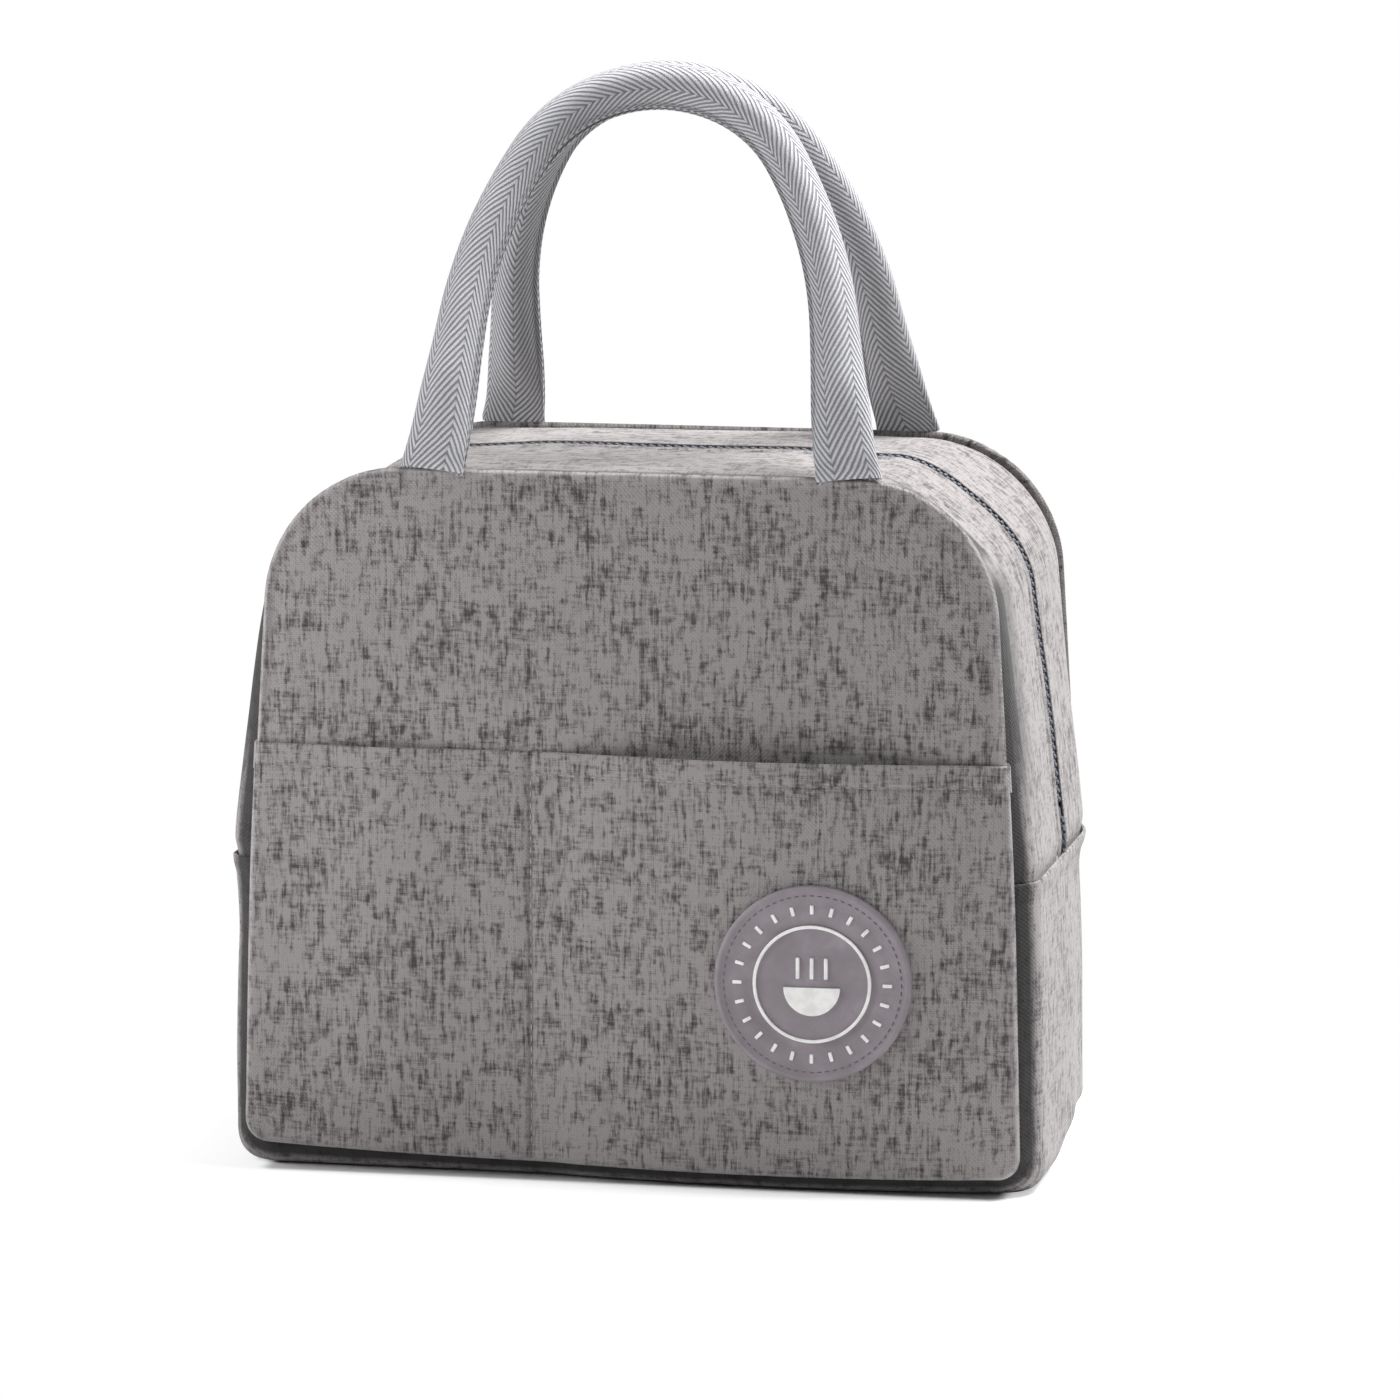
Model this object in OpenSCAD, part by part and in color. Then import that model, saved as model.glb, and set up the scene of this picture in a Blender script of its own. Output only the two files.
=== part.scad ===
// Soft insulated lunch bag, in millimetres, +Z up.
// The origin is the middle of the flat underside. The front, with the pocket, faces -Y.
// The bag is sewn from layered cloth panels. Its mouth opens where the zip ends, so
// every layer of the front and of the rear wall is cut there, at the fold line.

/* [Body] */
// Width of the front panel at its bottom seam
base_w = 223; // [195:1:250]
// Height of the top seam above the ground
body_h = 203; // [185:1:225]
// Depth from the front seam to the rear seam
body_d = 116; // [100:1:136]
// Inward lean of the side seams above the fold line, in degrees
lean = 3.5; // [2:0.5:5]
// Inward lean of the side seams below the fold line, in degrees
low_lean = 1.3; // [0.5:0.1:2]
// Corner radius of the panels at the top
top_r = 40; // [32:1:48]
// Corner radius of the panels at the bottom
bottom_r = 7; // [7:0.5:14]
// How far the sides and the underside swell past their seams
swell = 6.5; // [6:0.5:8]
// How far the gusset sinks between its seams at the top corners
corner_sink = 2.5; // [0:0.5:4]
// How far the top swells past the top seam
top_swell = 1.5; // [0:0.5:3]

/* [Layers] */
// Outer cloth
cloth_t = 1; // [0.8:0.1:1.2]
// Insulating foam
foam_t = 4; // [3:0.5:4.5]
// Foil lining
liner_t = 0.6; // [0.5:0.1:0.8]

/* [Pocket and badge] */
// Height of the pocket's top edge
pocket_h = 124; // [115:1:135]
// Depth of the folded hem at the pocket's mouth
hem_w = 6.6; // [6:0.2:12]
// Place of the stitched divider, from the middle
divider_x = -28; // [-45:1:0]
// How far the pocket cloth stands out from the front panel
pocket_swell = 7; // [6:0.5:9]
// Diameter of the badge
badge_d = 56; // [40:1:60]

/* [Zip] */
// Height at which the zip ends and the mouth folds
fold_z = 90; // [84:1:100]
// Half of the gap between the two edges of cloth along the zip
zip_gap = 3.4; // [3.3:0.1:4.5]
// Width of one tape
tape_w = 15; // [12:0.5:18]
// Spacing of the teeth on one tape
tooth_pitch = 2.5; // [2.2:0.1:4]

/* [Handles] */
// Distance between the two feet of one handle
handle_span = 117; // [105:1:125]
// Height of the handle's centreline, measured along the handle
handle_rise = 117.5; // [105:0.5:130]
// Lean of each handle towards the other, in degrees
handle_lean = 28; // [20:0.5:28]
// Width of the folded webbing, as seen from the front
grip_w = 11.5; // [11:0.5:14]
// Thickness of the folded webbing, from front to back
grip_t = 10.6; // [10:0.2:11]
// Width of a handle's foot, where the webbing is flat
foot_w = 19.5; // [18:0.5:25]

/* [Hidden] */

$fn = 128;
far = 400;                    // longer than the bag in any direction
slit = 0.15;                  // half of the cut along the fold line
seam_y = body_d / 2;          // the seam planes are at -seam_y and +seam_y
seam_z = swell;               // height of the bottom seam
ridge = 0.8;                  // how far a panel's sewn edge stands past the seam
wall_t = cloth_t + foam_t + liner_t;

// A leaning side is the line x cos(tilt) + z sin(tilt) = reach. The sides lean less
// below the fold line than above it.
function side_x(reach, tilt, z) = (reach - z * sin(tilt)) / cos(tilt);
low_reach = base_w / 2 * cos(low_lean) + seam_z * sin(low_lean);
fold_x = side_x(low_reach, low_lean, fold_z);
high_reach = fold_x * cos(lean) + fold_z * sin(lean);
function side_point(z) =
    [z < fold_z ? side_x(low_reach, low_lean, z) : side_x(high_reach, lean, z), z];

// Centre of a panel's corner of radius r at height z, tangent to the side.
function corner(reach, tilt, r, z) = [side_x(reach - r, tilt, z), z];
function across(p, tilt, r) = [p.x + r * cos(tilt), p.y + r * sin(tilt)];
top_c = corner(high_reach, lean, top_r, body_h - top_r);
bottom_c = corner(low_reach, low_lean, bottom_r, seam_z + bottom_r);

cloth_grey = [0.45, 0.44, 0.43];
webbing_grey = [0.62, 0.62, 0.63];
foam_white = [0.93, 0.93, 0.92];
foil_silver = [0.78, 0.79, 0.81];
zip_grey = [0.25, 0.25, 0.27];
badge_grey = [0.43, 0.40, 0.43];
print_white = [0.88, 0.88, 0.87];
metal_grey = [0.5, 0.5, 0.52];

// ---------------------------------------------------------------- helpers

// A flat shape drawn in x and z, given thickness from y0 to y1.
module upright(y0, y1) {
    translate([0, y1, 0]) rotate([90, 0, 0]) linear_extrude(y1 - y0) children();
}

module above(z) {
    intersection() {
        children();
        translate([-far, -far, z]) cube(2 * far);
    }
}

module below(z) {
    intersection() {
        children();
        translate([-far, -far, z - 2 * far]) cube(2 * far);
    }
}

// The panels' outline along the seam, grown or shrunk all round. The side lines start
// this far inside the corner circles, so that each crosses its circle only once.
overlap = 0.01;
module seam_outline(grow = 0) {
    right = [
        [bottom_c.x, seam_z - grow], across(bottom_c, low_lean, bottom_r + grow - overlap),
        [fold_x + grow, fold_z],
        across(top_c, lean, top_r + grow - overlap), [top_c.x, body_h + grow]
    ];
    polygon(concat(right, [for (i = [len(right) - 1:-1:0]) [-right[i].x, right[i].y]]));
    for (side = [-1, 1]) {
        translate([side * bottom_c.x, bottom_c.y]) circle(r = bottom_r + grow);
        translate([side * top_c.x, top_c.y]) circle(r = top_r + grow);
    }
}

// ---------------------------------------------------------------- gusset loop
// The gusset is lofted through stations along the seam. A station is
// [x, z, outward x, outward z, swell, half-width of the section's flat middle], and
// its section spans the bag's depth.

corner_u = 1;            // swell where the side meets the top corner
flat_half = seam_y - 24;
base_flat_half = seam_y - 12;    // the bag's own weight flattens the underside
side_steps = 3;
corner_steps = 9;
toe_steps = 5;

function mix(a, b, t) = a + (b - a) * t;
function ease(t) = t * t * (3 - 2 * t);
function polar(p, r, a) = [p.x + r * cos(a), p.y + r * sin(a)];
function station(p, a, u, flat = flat_half) = [p.x, p.y, cos(a), sin(a), u, flat];

// At the fold line a section lies level, so that both loops meet face to face.
function level_station(z) = station(side_point(z), 0, swell);

// At a top corner the cloth sinks most a little past the start of the curve.
function corner_swell(t, sink_at = 0.55) =
    t < sink_at
    ? mix(corner_u, -corner_sink, ease(t / sink_at))
    : mix(-corner_sink, 0, ease((t - sink_at) / (1 - sink_at)));

// From the fold line at the right up to the middle of the top.
function rising(z0) =
    let (z1 = top_c.y + top_r * sin(lean))
    concat(
        [level_station(z0)],
        [for (i = [1:side_steps]) let (t = i / side_steps)
            station(side_point(mix(z0, z1, t)), lean, mix(swell, corner_u, t))],
        [for (i = [1:corner_steps]) let (t = i / corner_steps, a = mix(lean, 90, t))
            station(polar(top_c, top_r, a), a, corner_swell(t))],
        [station([top_c.x / 2, body_h], 90, top_swell), station([0, body_h], 90, top_swell)]
    );

// From the fold line at the right down to the middle of the underside.
function falling(z0) =
    let (z1 = bottom_c.y + bottom_r * sin(low_lean), toe = 0.35)
    concat(
        [level_station(z0), station(side_point(mix(z0, z1, 0.5)), low_lean, swell + 0.5)],
        [station(side_point(z1), low_lean, swell)],
        [for (i = [1:toe_steps]) let (t = i / toe_steps, a = mix(low_lean, -90, t))
            station(
                polar(bottom_c, bottom_r, a), a, swell * (1 - toe * sin(180 * t)),
                mix(flat_half, base_flat_half, t)
            )],
        [station([0, seam_z], -90, swell, base_flat_half)]
    );

// The same stations carried on down the left side.
function looped(right) =
    let (n = len(right))
    concat(right, [for (i = [n - 2:-1:0]) let (q = right[i]) [-q[0], q[1], -q[2], q[3], q[4], q[5]]]);

// How much of the swell a section has at depth y: all of it in the flat middle.
function section_share(y, flat) =
    let (v = max(0, abs(y) - flat) / (seam_y - flat)) 1 - v * v;
function on_gusset(q, y, t) =
    let (u = q[4] * section_share(y, q[5]) - t) [q[0] + u * q[2], y, q[1] + u * q[3]];

// Skins a list of sections. A section is the points of its outer edge, in order, and
// then as many points of its inner edge in the opposite order. The inner faces are cut
// along the other diagonal, so that two layers meet face to face.
module skin(sections) {
    ring = len(sections[0]);
    last = ring * (len(sections) - 1);
    walls = [for (k = [0:len(sections) - 2], i = [0:ring - 1])
        let (a = k * ring + i, b = k * ring + (i + 1) % ring)
        each i < ring / 2
            ? [[a, b, b + ring], [a, b + ring, a + ring]]
            : [[a, b, a + ring], [b, b + ring, a + ring]]];
    ends = [for (i = [0:ring / 2 - 2])
        let (j = ring - 1 - i)
        each [
            [i, j, j - 1], [i, j - 1, i + 1],
            [last + i, last + j - 1, last + j], [last + i, last + i + 1, last + j - 1]
        ]];
    polyhedron([for (q = sections) each q], concat(walls, ends), convexity = 6);
}

// Lofts a layer between depths t0 and t1 under the outer face, across the given ys.
module loft(stations, ys, t0, t1) {
    n = len(ys);
    skin([for (q = stations) concat(
        [for (y = ys) on_gusset(q, y, t0)],
        [for (i = [n - 1:-1:0]) on_gusset(q, ys[i], t1)]
    )]);
}

// Depths at which a section has its points, from the front seam to the middle.
function half_ys(y1) = [-seam_y, -seam_y + 4, -seam_y + 9, -seam_y + 15, -flat_half, y1];

module base_layer(t0, t1) {
    front = half_ys(0);
    ys = concat(front, [for (i = [4:-1:0]) -front[i]]);
    loft(looped(falling(fold_z - slit)), ys, t0, t1);
}

// A strip from the front seam to y1, over the top of the bag.
module strip_layer(t0, t1, y1) {
    loft(looped(rising(fold_z + slit)), half_ys(y1), t0, t1);
}

module bottom_gusset() {
    color(cloth_grey) base_layer(0, cloth_t);
}

module gusset_foam() {
    color(foam_white) base_layer(cloth_t, cloth_t + foam_t);
}

module gusset_liner() {
    color(foil_silver) base_layer(cloth_t + foam_t, wall_t);
}

module zip_strip() {
    color(cloth_grey) strip_layer(0, cloth_t, -zip_gap);
}

module strip_foam() {
    color(foam_white) strip_layer(cloth_t, cloth_t + foam_t, -tape_w - 0.5);
}

module strip_liner() {
    color(foil_silver) strip_layer(cloth_t + foam_t, wall_t, -tape_w - 0.5);
}

// ---------------------------------------------------------------- front and rear walls

inset = -wall_t - 1.2;   // the foam and lining stop short of the gusset's layers

module panel_cloth() {
    color(cloth_grey) upright(-seam_y - cloth_t, -seam_y) seam_outline(ridge);
}

module panel_foam() {
    color(foam_white) upright(-seam_y, -seam_y + foam_t) seam_outline(inset);
}

module panel_liner() {
    color(foil_silver)
        upright(-seam_y + foam_t, -seam_y + foam_t + liner_t) seam_outline(inset);
}

// ---------------------------------------------------------------- pocket

panel_y = -seam_y - cloth_t;                  // outer face of the front panel
hem_t = 0.6;                                  // the folded hem stands this much prouder
pocket_edge = base_w / 2 - 5;                 // where the pocket cloth meets the side seams
left_bay = [-pocket_edge, divider_x - 1.5];
right_bay = [divider_x + 1.5, pocket_edge];

function bay_r(bay) =
    let (half = (bay[1] - bay[0]) / 2)
    (half * half + pocket_swell * pocket_swell) / (2 * pocket_swell);
function bay_x(bay) = (bay[0] + bay[1]) / 2;
function bay_y(bay) = panel_y - pocket_swell + bay_r(bay);

// Plan of the swell over one bay, lowered by t.
module bay_plan(bay, t) {
    intersection() {
        translate([bay_x(bay), bay_y(bay)]) circle(r = bay_r(bay) - t, $fn = 256);
        translate([bay[0] - 20, panel_y - 20]) square([bay[1] - bay[0] + 40, 20]);
    }
}

// The swell closes onto the bottom seam along a sloping face.
module bay_volume(bay, t, z1) {
    toe_z = seam_z + 2 + 2 * t;
    intersection() {
        translate([0, 0, seam_z]) linear_extrude(z1 - seam_z) bay_plan(bay, t);
        translate([0, panel_y, toe_z]) rotate([-65, 0, 0])
            translate([-far / 2, -far, 0]) cube([far, 2 * far, far]);
    }
}

// The pocket: a layer sewn flat round its edge, with a swell over each bay and a hem.
module pocket_cloth() {
    difference() {
        intersection() {
            upright(panel_y - 20, panel_y) seam_outline(ridge);
            union() {
                translate([-far, panel_y - cloth_t, 0]) cube([2 * far, cloth_t, pocket_h]);
                for (bay = [left_bay, right_bay]) {
                    bay_volume(bay, 0, pocket_h);
                    intersection() {
                        bay_volume(bay, -hem_t, pocket_h);
                        translate([-far, -far, pocket_h - hem_w]) cube([2 * far, far, hem_w]);
                    }
                }
            }
        }
        for (bay = [left_bay, right_bay]) bay_volume(bay, cloth_t, pocket_h + 5);
    }
}

module pocket() {
    color(cloth_grey) below(fold_z - slit) pocket_cloth();
}

module pocket_mouth() {
    color(cloth_grey) above(fold_z + slit) pocket_cloth();
}

// ---------------------------------------------------------------- badge

badge_x = 54.5;
badge_z = 61.5;
badge_t = 1.6;

// What lies between two depths over the right bay, cut to a flat shape in x and z.
module on_right_bay(h0, h1) {
    intersection() {
        upright(panel_y - 20, panel_y) translate([badge_x, badge_z]) children();
        translate([bay_x(right_bay), bay_y(right_bay), 0]) difference() {
            cylinder(r = bay_r(right_bay) + h1, h = pocket_h, $fn = 256);
            translate([0, 0, -1]) cylinder(r = bay_r(right_bay) + h0, h = pocket_h + 2, $fn = 256);
        }
    }
}

module ring2d(r1, r0) {
    difference() {
        circle(r = r1);
        circle(r = r0);
    }
}

module badge() {
    rim_w = 1.2;
    color(badge_grey) {
        on_right_bay(0, badge_t) circle(d = badge_d);
        on_right_bay(badge_t, badge_t + 0.4) ring2d(badge_d / 2, badge_d / 2 - rim_w);
    }
}

// A steaming bowl inside a ring, with short bars round it.
module badge_relief() {
    ring_r = badge_d * 0.3;
    bars = 24;
    color(print_white) on_right_bay(badge_t, badge_t + 0.4) {
        ring2d(ring_r, ring_r - 0.9);
        for (i = [0:bars - 1]) rotate(i * 360 / bars)
            translate([ring_r + 3.2, -0.5]) square([2.6, 1]);
        intersection() {
            translate([0, -1]) circle(r = 8);
            translate([-10, -11]) square([20, 10]);
        }
        for (x = [-4, 0, 4]) translate([x - 0.5, 1.5]) square([1, 6]);
    }
}

// ---------------------------------------------------------------- zip

tooth_y0 = 0.15;
tooth_y1 = 1.9;
tooth_l = 1.3;
tooth_rise = 0.4;        // how far the teeth stand above the cloth
stub_l = 13;             // length over which the last teeth stay shut
tape_t = 0.6;

// The middle of the strips at depth t, as [x, z] points. The zip runs along it.
function middle_line(z0, t) =
    [for (q = looped(rising(z0))) let (p = on_gusset(q, 0, t)) [p.x, p.z]];
zip_line = middle_line(fold_z, 0);
tape_line = middle_line(fold_z + slit, cloth_t);
side_line = zip_line[side_steps] - zip_line[0];
zip_lean = atan2(-side_line.x, side_line.y);

// Stands a piece on the side at height z: x outwards from the cloth, z along the zip.
module on_side(z) {
    translate([zip_line[0].x - (z - fold_z) * tan(zip_lean), 0, z])
        rotate([0, -zip_lean, 0]) children();
}

// The front tape, under the edge of its strip. At the shut end it is cut back.
module zip_tape() {
    color(zip_grey) difference() {
        loft(looped(rising(fold_z + slit)), [-tape_w, -tape_w / 2, -0.3], cloth_t, cloth_t + tape_t);
        for (side = [0, 1]) mirror([side, 0, 0]) on_side(fold_z)
            translate([-2 * cloth_t, 0.1 - zip_gap, -5]) cube([5, zip_gap + 5, stub_l + 5 + slit]);
    }
}

// One tooth standing on its tape: x outwards, z along the zip.
module tooth() {
    translate([0, -tooth_y1, -tooth_l / 2])
        cube([cloth_t + tooth_rise, tooth_y1 - tooth_y0, tooth_l]);
}

// The teeth stand at an even pitch along each stretch of the tape.
module zip_teeth() {
    n = len(tape_line);
    free = (stub_l + 1) / norm(side_line) * side_steps;
    color(zip_grey) for (i = [1:n - 1]) {
        a = mix(tape_line[i - 1], tape_line[i], i == 1 ? free : 0);
        b = mix(tape_line[i], tape_line[i - 1], i == n - 1 ? free : 0);
        count = round(norm(b - a) / tooth_pitch);
        for (k = [0:count - 1]) {
            p = mix(a, b, (k + 0.5) / count);
            translate([p.x, 0, p.y]) rotate([0, 90 - atan2(b.y - a.y, b.x - a.x), 0]) tooth();
        }
    }
}

// The two sewn ends, where the last teeth of both tapes stay shut.
module zip_ends() {
    color(zip_grey) for (side = [0, 1]) mirror([side, 0, 0]) on_side(fold_z) {
        translate([-cloth_t - tape_t, -zip_gap + 0.4, slit])
            cube([tape_t, 2 * (zip_gap - 0.4), stub_l - 2 * slit]);
        translate([-cloth_t - 0.01, -tooth_y1, slit])
            cube([cloth_t - 0.5, 2 * tooth_y1, stub_l - 2 * slit]);
        for (i = [0:3], face = [0, 1]) mirror([0, face, 0])
            translate([-cloth_t, 0, 2 + i * tooth_pitch]) tooth();
    }
}

// The slider rests at the left end. Its frame: x outwards, y across, z along the zip.
slider_l = 9;
slider_w = 8;
slider_z = fold_z + 7;
plate_x0 = 1;            // the plate rides this far above the cloth
plate_x1 = 2.2;
pin_x = 3.3;             // axis of the pull
pin_r = 0.6;
pin_z = 0;

module at_slider() {
    mirror([1, 0, 0]) on_side(slider_z) children();
}

module zip_slider() {
    bridge_t = 1;
    bridge_half = 3.2;
    color(metal_grey) at_slider() {
        // Plate, with a rounded nose.
        intersection() {
            translate([plate_x0, -slider_w / 2, -slider_l / 2])
                cube([plate_x1 - plate_x0, slider_w, slider_l]);
            translate([0, 0, -1]) rotate([0, 90, 0]) cylinder(r = 5.4, h = 5);
        }
        // Side flanges, which reach down beside the teeth.
        for (face = [0, 1]) mirror([0, face, 0])
            translate([-0.7, -zip_gap + 0.4, -slider_l / 2 + 1])
                cube([plate_x0 + 0.7 + 0.01, 0.8, slider_l - 2]);
        // Bridge over the pull's pin.
        for (end = [-1, 1])
            translate([plate_x1 - 0.01, -1, end * bridge_half - bridge_t / 2])
                cube([2.6, 2, bridge_t]);
        translate([plate_x1 + 1.9, -1, -bridge_half - bridge_t / 2])
            cube([bridge_t, 2, 2 * bridge_half + bridge_t]);
    }
}

module zip_pull() {
    arm_y = 2.6;
    tab_top = -7;
    tab_l = 24;
    tab_w = 7;
    color(metal_grey) at_slider() translate([pin_x, 0, pin_z]) {
        rotate([90, 0, 0]) cylinder(r = pin_r, h = 2 * arm_y, center = true);
        for (side = [-1, 1]) translate([-pin_r, side * arm_y - pin_r, tab_top - 1])
            cube([2 * pin_r, 2 * pin_r, -tab_top + 1 + pin_r]);
        difference() {
            translate([-pin_r, -tab_w / 2, tab_top - tab_l]) cube([2 * pin_r, tab_w, tab_l]);
            translate([-1, 0, tab_top - tab_l + 4]) rotate([0, 90, 0])
                cylinder(r = 1.5, h = 2);
        }
    }
}

// ---------------------------------------------------------------- handles

// The centreline, in the handle's own plane: a leg, a long side arc and a crown arc.
leg_tilt = 6.5;          // the leg's lean at the foot, in degrees
side_tilt = 30;          // the side arc's lean where it meets the crown
crown_arc_r = 42;
hinge_y = -seam_y - 2.5; // a handle folds about this line
hinge_z = body_h + 1.5;
narrowing = 28;          // the foot's extra width falls to a third over this length
core_start = 30;         // the core fills the fold from here
foot_t = 2.4;
web_t = 1.1;             // thickness of the webbing itself
core_d = 6;

crown_end = [crown_arc_r * cos(side_tilt), handle_rise - crown_arc_r * (1 - sin(side_tilt))];
side_arc_r =
    (handle_span / 2 - crown_end.x - crown_end.y * tan(leg_tilt))
    / (cos(leg_tilt) - cos(side_tilt) - (sin(side_tilt) - sin(leg_tilt)) * tan(leg_tilt));
side_c = crown_end - side_arc_r * [cos(side_tilt), sin(side_tilt)];
leg_top = side_c + side_arc_r * [cos(leg_tilt), sin(leg_tilt)];
leg_l = leg_top.y / cos(leg_tilt);

// Stations along the handle: [x, z, outward x, outward z, distance from the foot].
function leg_station(t) =
    let (p = [handle_span / 2 - t * sin(leg_tilt), t * cos(leg_tilt)])
    t == 0 ? station(p, 0, t) : station(p, leg_tilt, t);
function half_handle(t0) =
    let (turn_l = side_arc_r * (side_tilt - leg_tilt) * PI / 180)
    concat(
        [for (t = [0, 4, 10, 18, core_start]) if (t >= t0) leg_station(t)],
        [leg_station((core_start + leg_l) / 2), leg_station(leg_l)],
        [for (i = [1:3]) let (a = mix(leg_tilt, side_tilt, i / 3))
            station(polar(side_c, side_arc_r, a), a, leg_l + turn_l * i / 3)],
        [for (i = [1:7]) let (a = mix(side_tilt, 90, i / 7))
            station(polar([0, handle_rise - crown_arc_r], crown_arc_r, a), a, leg_l + turn_l)]
    );

// Point of the handle's section at angle a, where a = 0 faces out of the loop.
// The section goes from a flat fold at the foot to a round one.
function web_point(q, a, depth) =
    let (
        w = grip_w + (foot_w - grip_w) * exp(-q[4] / narrowing),
        t = mix(foot_t, grip_t, ease(min(1, q[4] / core_start))),
        x = (w / 2 - depth) * cos(a),
        y = (t / 2 - depth) * sin(a)
    )
    [q[0] + x * q[2], y, q[1] + x * q[3]];

module at_front_handle() {
    translate([0, hinge_y, hinge_z]) rotate([-handle_lean, 0, 0]) children();
}

// Folded webbing. Its two edges meet on the inner side of the loop.
module handle_webbing() {
    turn = [-172, -156, -132, -105, -75, -45, -15, 15, 45, 75, 105, 132, 156, 172];
    color(webbing_grey) at_front_handle() skin([for (q = looped(half_handle(0))) concat(
        [for (a = turn) web_point(q, a, 0)],
        [for (a = turn) web_point(q, -a, web_t)]
    )]);
}

module handle_core() {
    steps = [0:20:340];
    color(foam_white) at_front_handle() skin([for (q = looped(half_handle(core_start)))
        [for (a = steps) [q[0] + core_d / 2 * cos(a) * q[2], core_d / 2 * sin(a),
            q[1] + core_d / 2 * cos(a) * q[3]]]
    ]);
}

// ---------------------------------------------------------------- nodes

module rear() {
    mirror([0, 1, 0]) children();
}

bottom_gusset();
gusset_foam();
gusset_liner();
below(fold_z - slit) panel_cloth();  // front_panel_lower
below(fold_z - slit) panel_foam();  // front_foam_lower
below(fold_z - slit) panel_liner();  // front_liner_lower
rear() below(fold_z - slit) panel_cloth();  // rear_panel_lower
rear() below(fold_z - slit) panel_foam();  // rear_foam_lower
rear() below(fold_z - slit) panel_liner();  // rear_liner_lower
pocket();
badge();
badge_relief();
zip_ends();
above(fold_z + slit) panel_cloth();  // front_panel
above(fold_z + slit) panel_foam();  // front_foam
above(fold_z + slit) panel_liner();  // front_liner
pocket_mouth();
zip_strip();  // front_zip_strip
strip_foam();  // front_strip_foam
strip_liner();  // front_strip_liner
zip_tape();  // front_zip_tape
zip_teeth();  // front_zip_teeth
rear() above(fold_z + slit) panel_cloth();  // rear_panel
rear() above(fold_z + slit) panel_foam();  // rear_foam
rear() above(fold_z + slit) panel_liner();  // rear_liner
rear() zip_strip();  // rear_zip_strip
rear() strip_foam();  // rear_strip_foam
rear() strip_liner();  // rear_strip_liner
rear() zip_tape();  // rear_zip_tape
rear() zip_teeth();  // rear_zip_teeth
handle_webbing();  // front_handle_webbing
handle_core();  // front_handle_core
rear() handle_webbing();  // rear_handle_webbing
rear() handle_core();  // rear_handle_core
zip_slider();
zip_pull();
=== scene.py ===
"""Looks of a soft insulated lunch bag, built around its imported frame.

Every length is in metres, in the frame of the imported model: the origin is the middle
of the flat underside, the front with the pocket faces -Y, and +Z is up.
"""

import logging
import math
from collections.abc import Callable, Sequence
from dataclasses import dataclass, field
from enum import Enum

import bmesh
import bpy
import numpy as np
from mathutils import Matrix, Vector, noise


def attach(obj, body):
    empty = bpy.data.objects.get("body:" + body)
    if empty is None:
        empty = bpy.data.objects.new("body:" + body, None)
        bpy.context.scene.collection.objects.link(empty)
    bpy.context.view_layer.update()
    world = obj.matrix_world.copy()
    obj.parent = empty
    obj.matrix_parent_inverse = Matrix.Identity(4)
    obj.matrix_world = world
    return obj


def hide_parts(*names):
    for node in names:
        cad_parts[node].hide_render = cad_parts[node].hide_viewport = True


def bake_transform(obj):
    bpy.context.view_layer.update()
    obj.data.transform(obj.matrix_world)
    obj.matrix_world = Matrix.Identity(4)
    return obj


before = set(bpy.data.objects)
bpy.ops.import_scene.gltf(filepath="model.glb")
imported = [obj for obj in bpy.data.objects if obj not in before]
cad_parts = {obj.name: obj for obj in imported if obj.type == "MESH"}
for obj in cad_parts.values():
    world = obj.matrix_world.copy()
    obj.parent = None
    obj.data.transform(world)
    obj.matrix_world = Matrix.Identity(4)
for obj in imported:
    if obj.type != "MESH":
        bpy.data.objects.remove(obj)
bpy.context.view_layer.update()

LOG = logging.getLogger("lunch_bag")
MM = 0.001
# Mesh attribute of depth in a seam, which sets where the cloth gets painted shade and a painted highlight.
CREASE = "crease"

Array = np.ndarray
Placement = tuple[Array, Array]


class Body(str, Enum):
    """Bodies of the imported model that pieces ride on."""

    BASE = "bag_base"
    FRONT_TOP = "front_top"
    REAR_TOP = "rear_top"
    FRONT_HANDLE = "front_handle"
    REAR_HANDLE = "rear_handle"


class Wall(Enum):
    """The two big walls of the bag, by the side of the XZ plane they are on."""

    FRONT = -1
    REAR = 1

    @property
    def label(self) -> str:
        """Name used in the names of pieces and nodes."""
        return "front" if self is Wall.FRONT else "rear"

    @property
    def top(self) -> Body:
        """Body that carries the upper half of this wall."""
        return Body.FRONT_TOP if self is Wall.FRONT else Body.REAR_TOP

    @property
    def handle(self) -> Body:
        """Body that carries the handle on this wall."""
        return Body.FRONT_HANDLE if self is Wall.FRONT else Body.REAR_HANDLE


class Slot(str, Enum):
    """Material slots of the record."""

    CLOTH = "cloth"
    WEBBING = "webbing"
    CORE = "cord_core"
    FOAM = "foam"
    FOIL = "foil"
    TAPE = "tape"
    TEETH = "teeth"
    BADGE = "badge"
    PRINT = "badge_print"


# ------------------------------------------------------------------ node helpers


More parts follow.
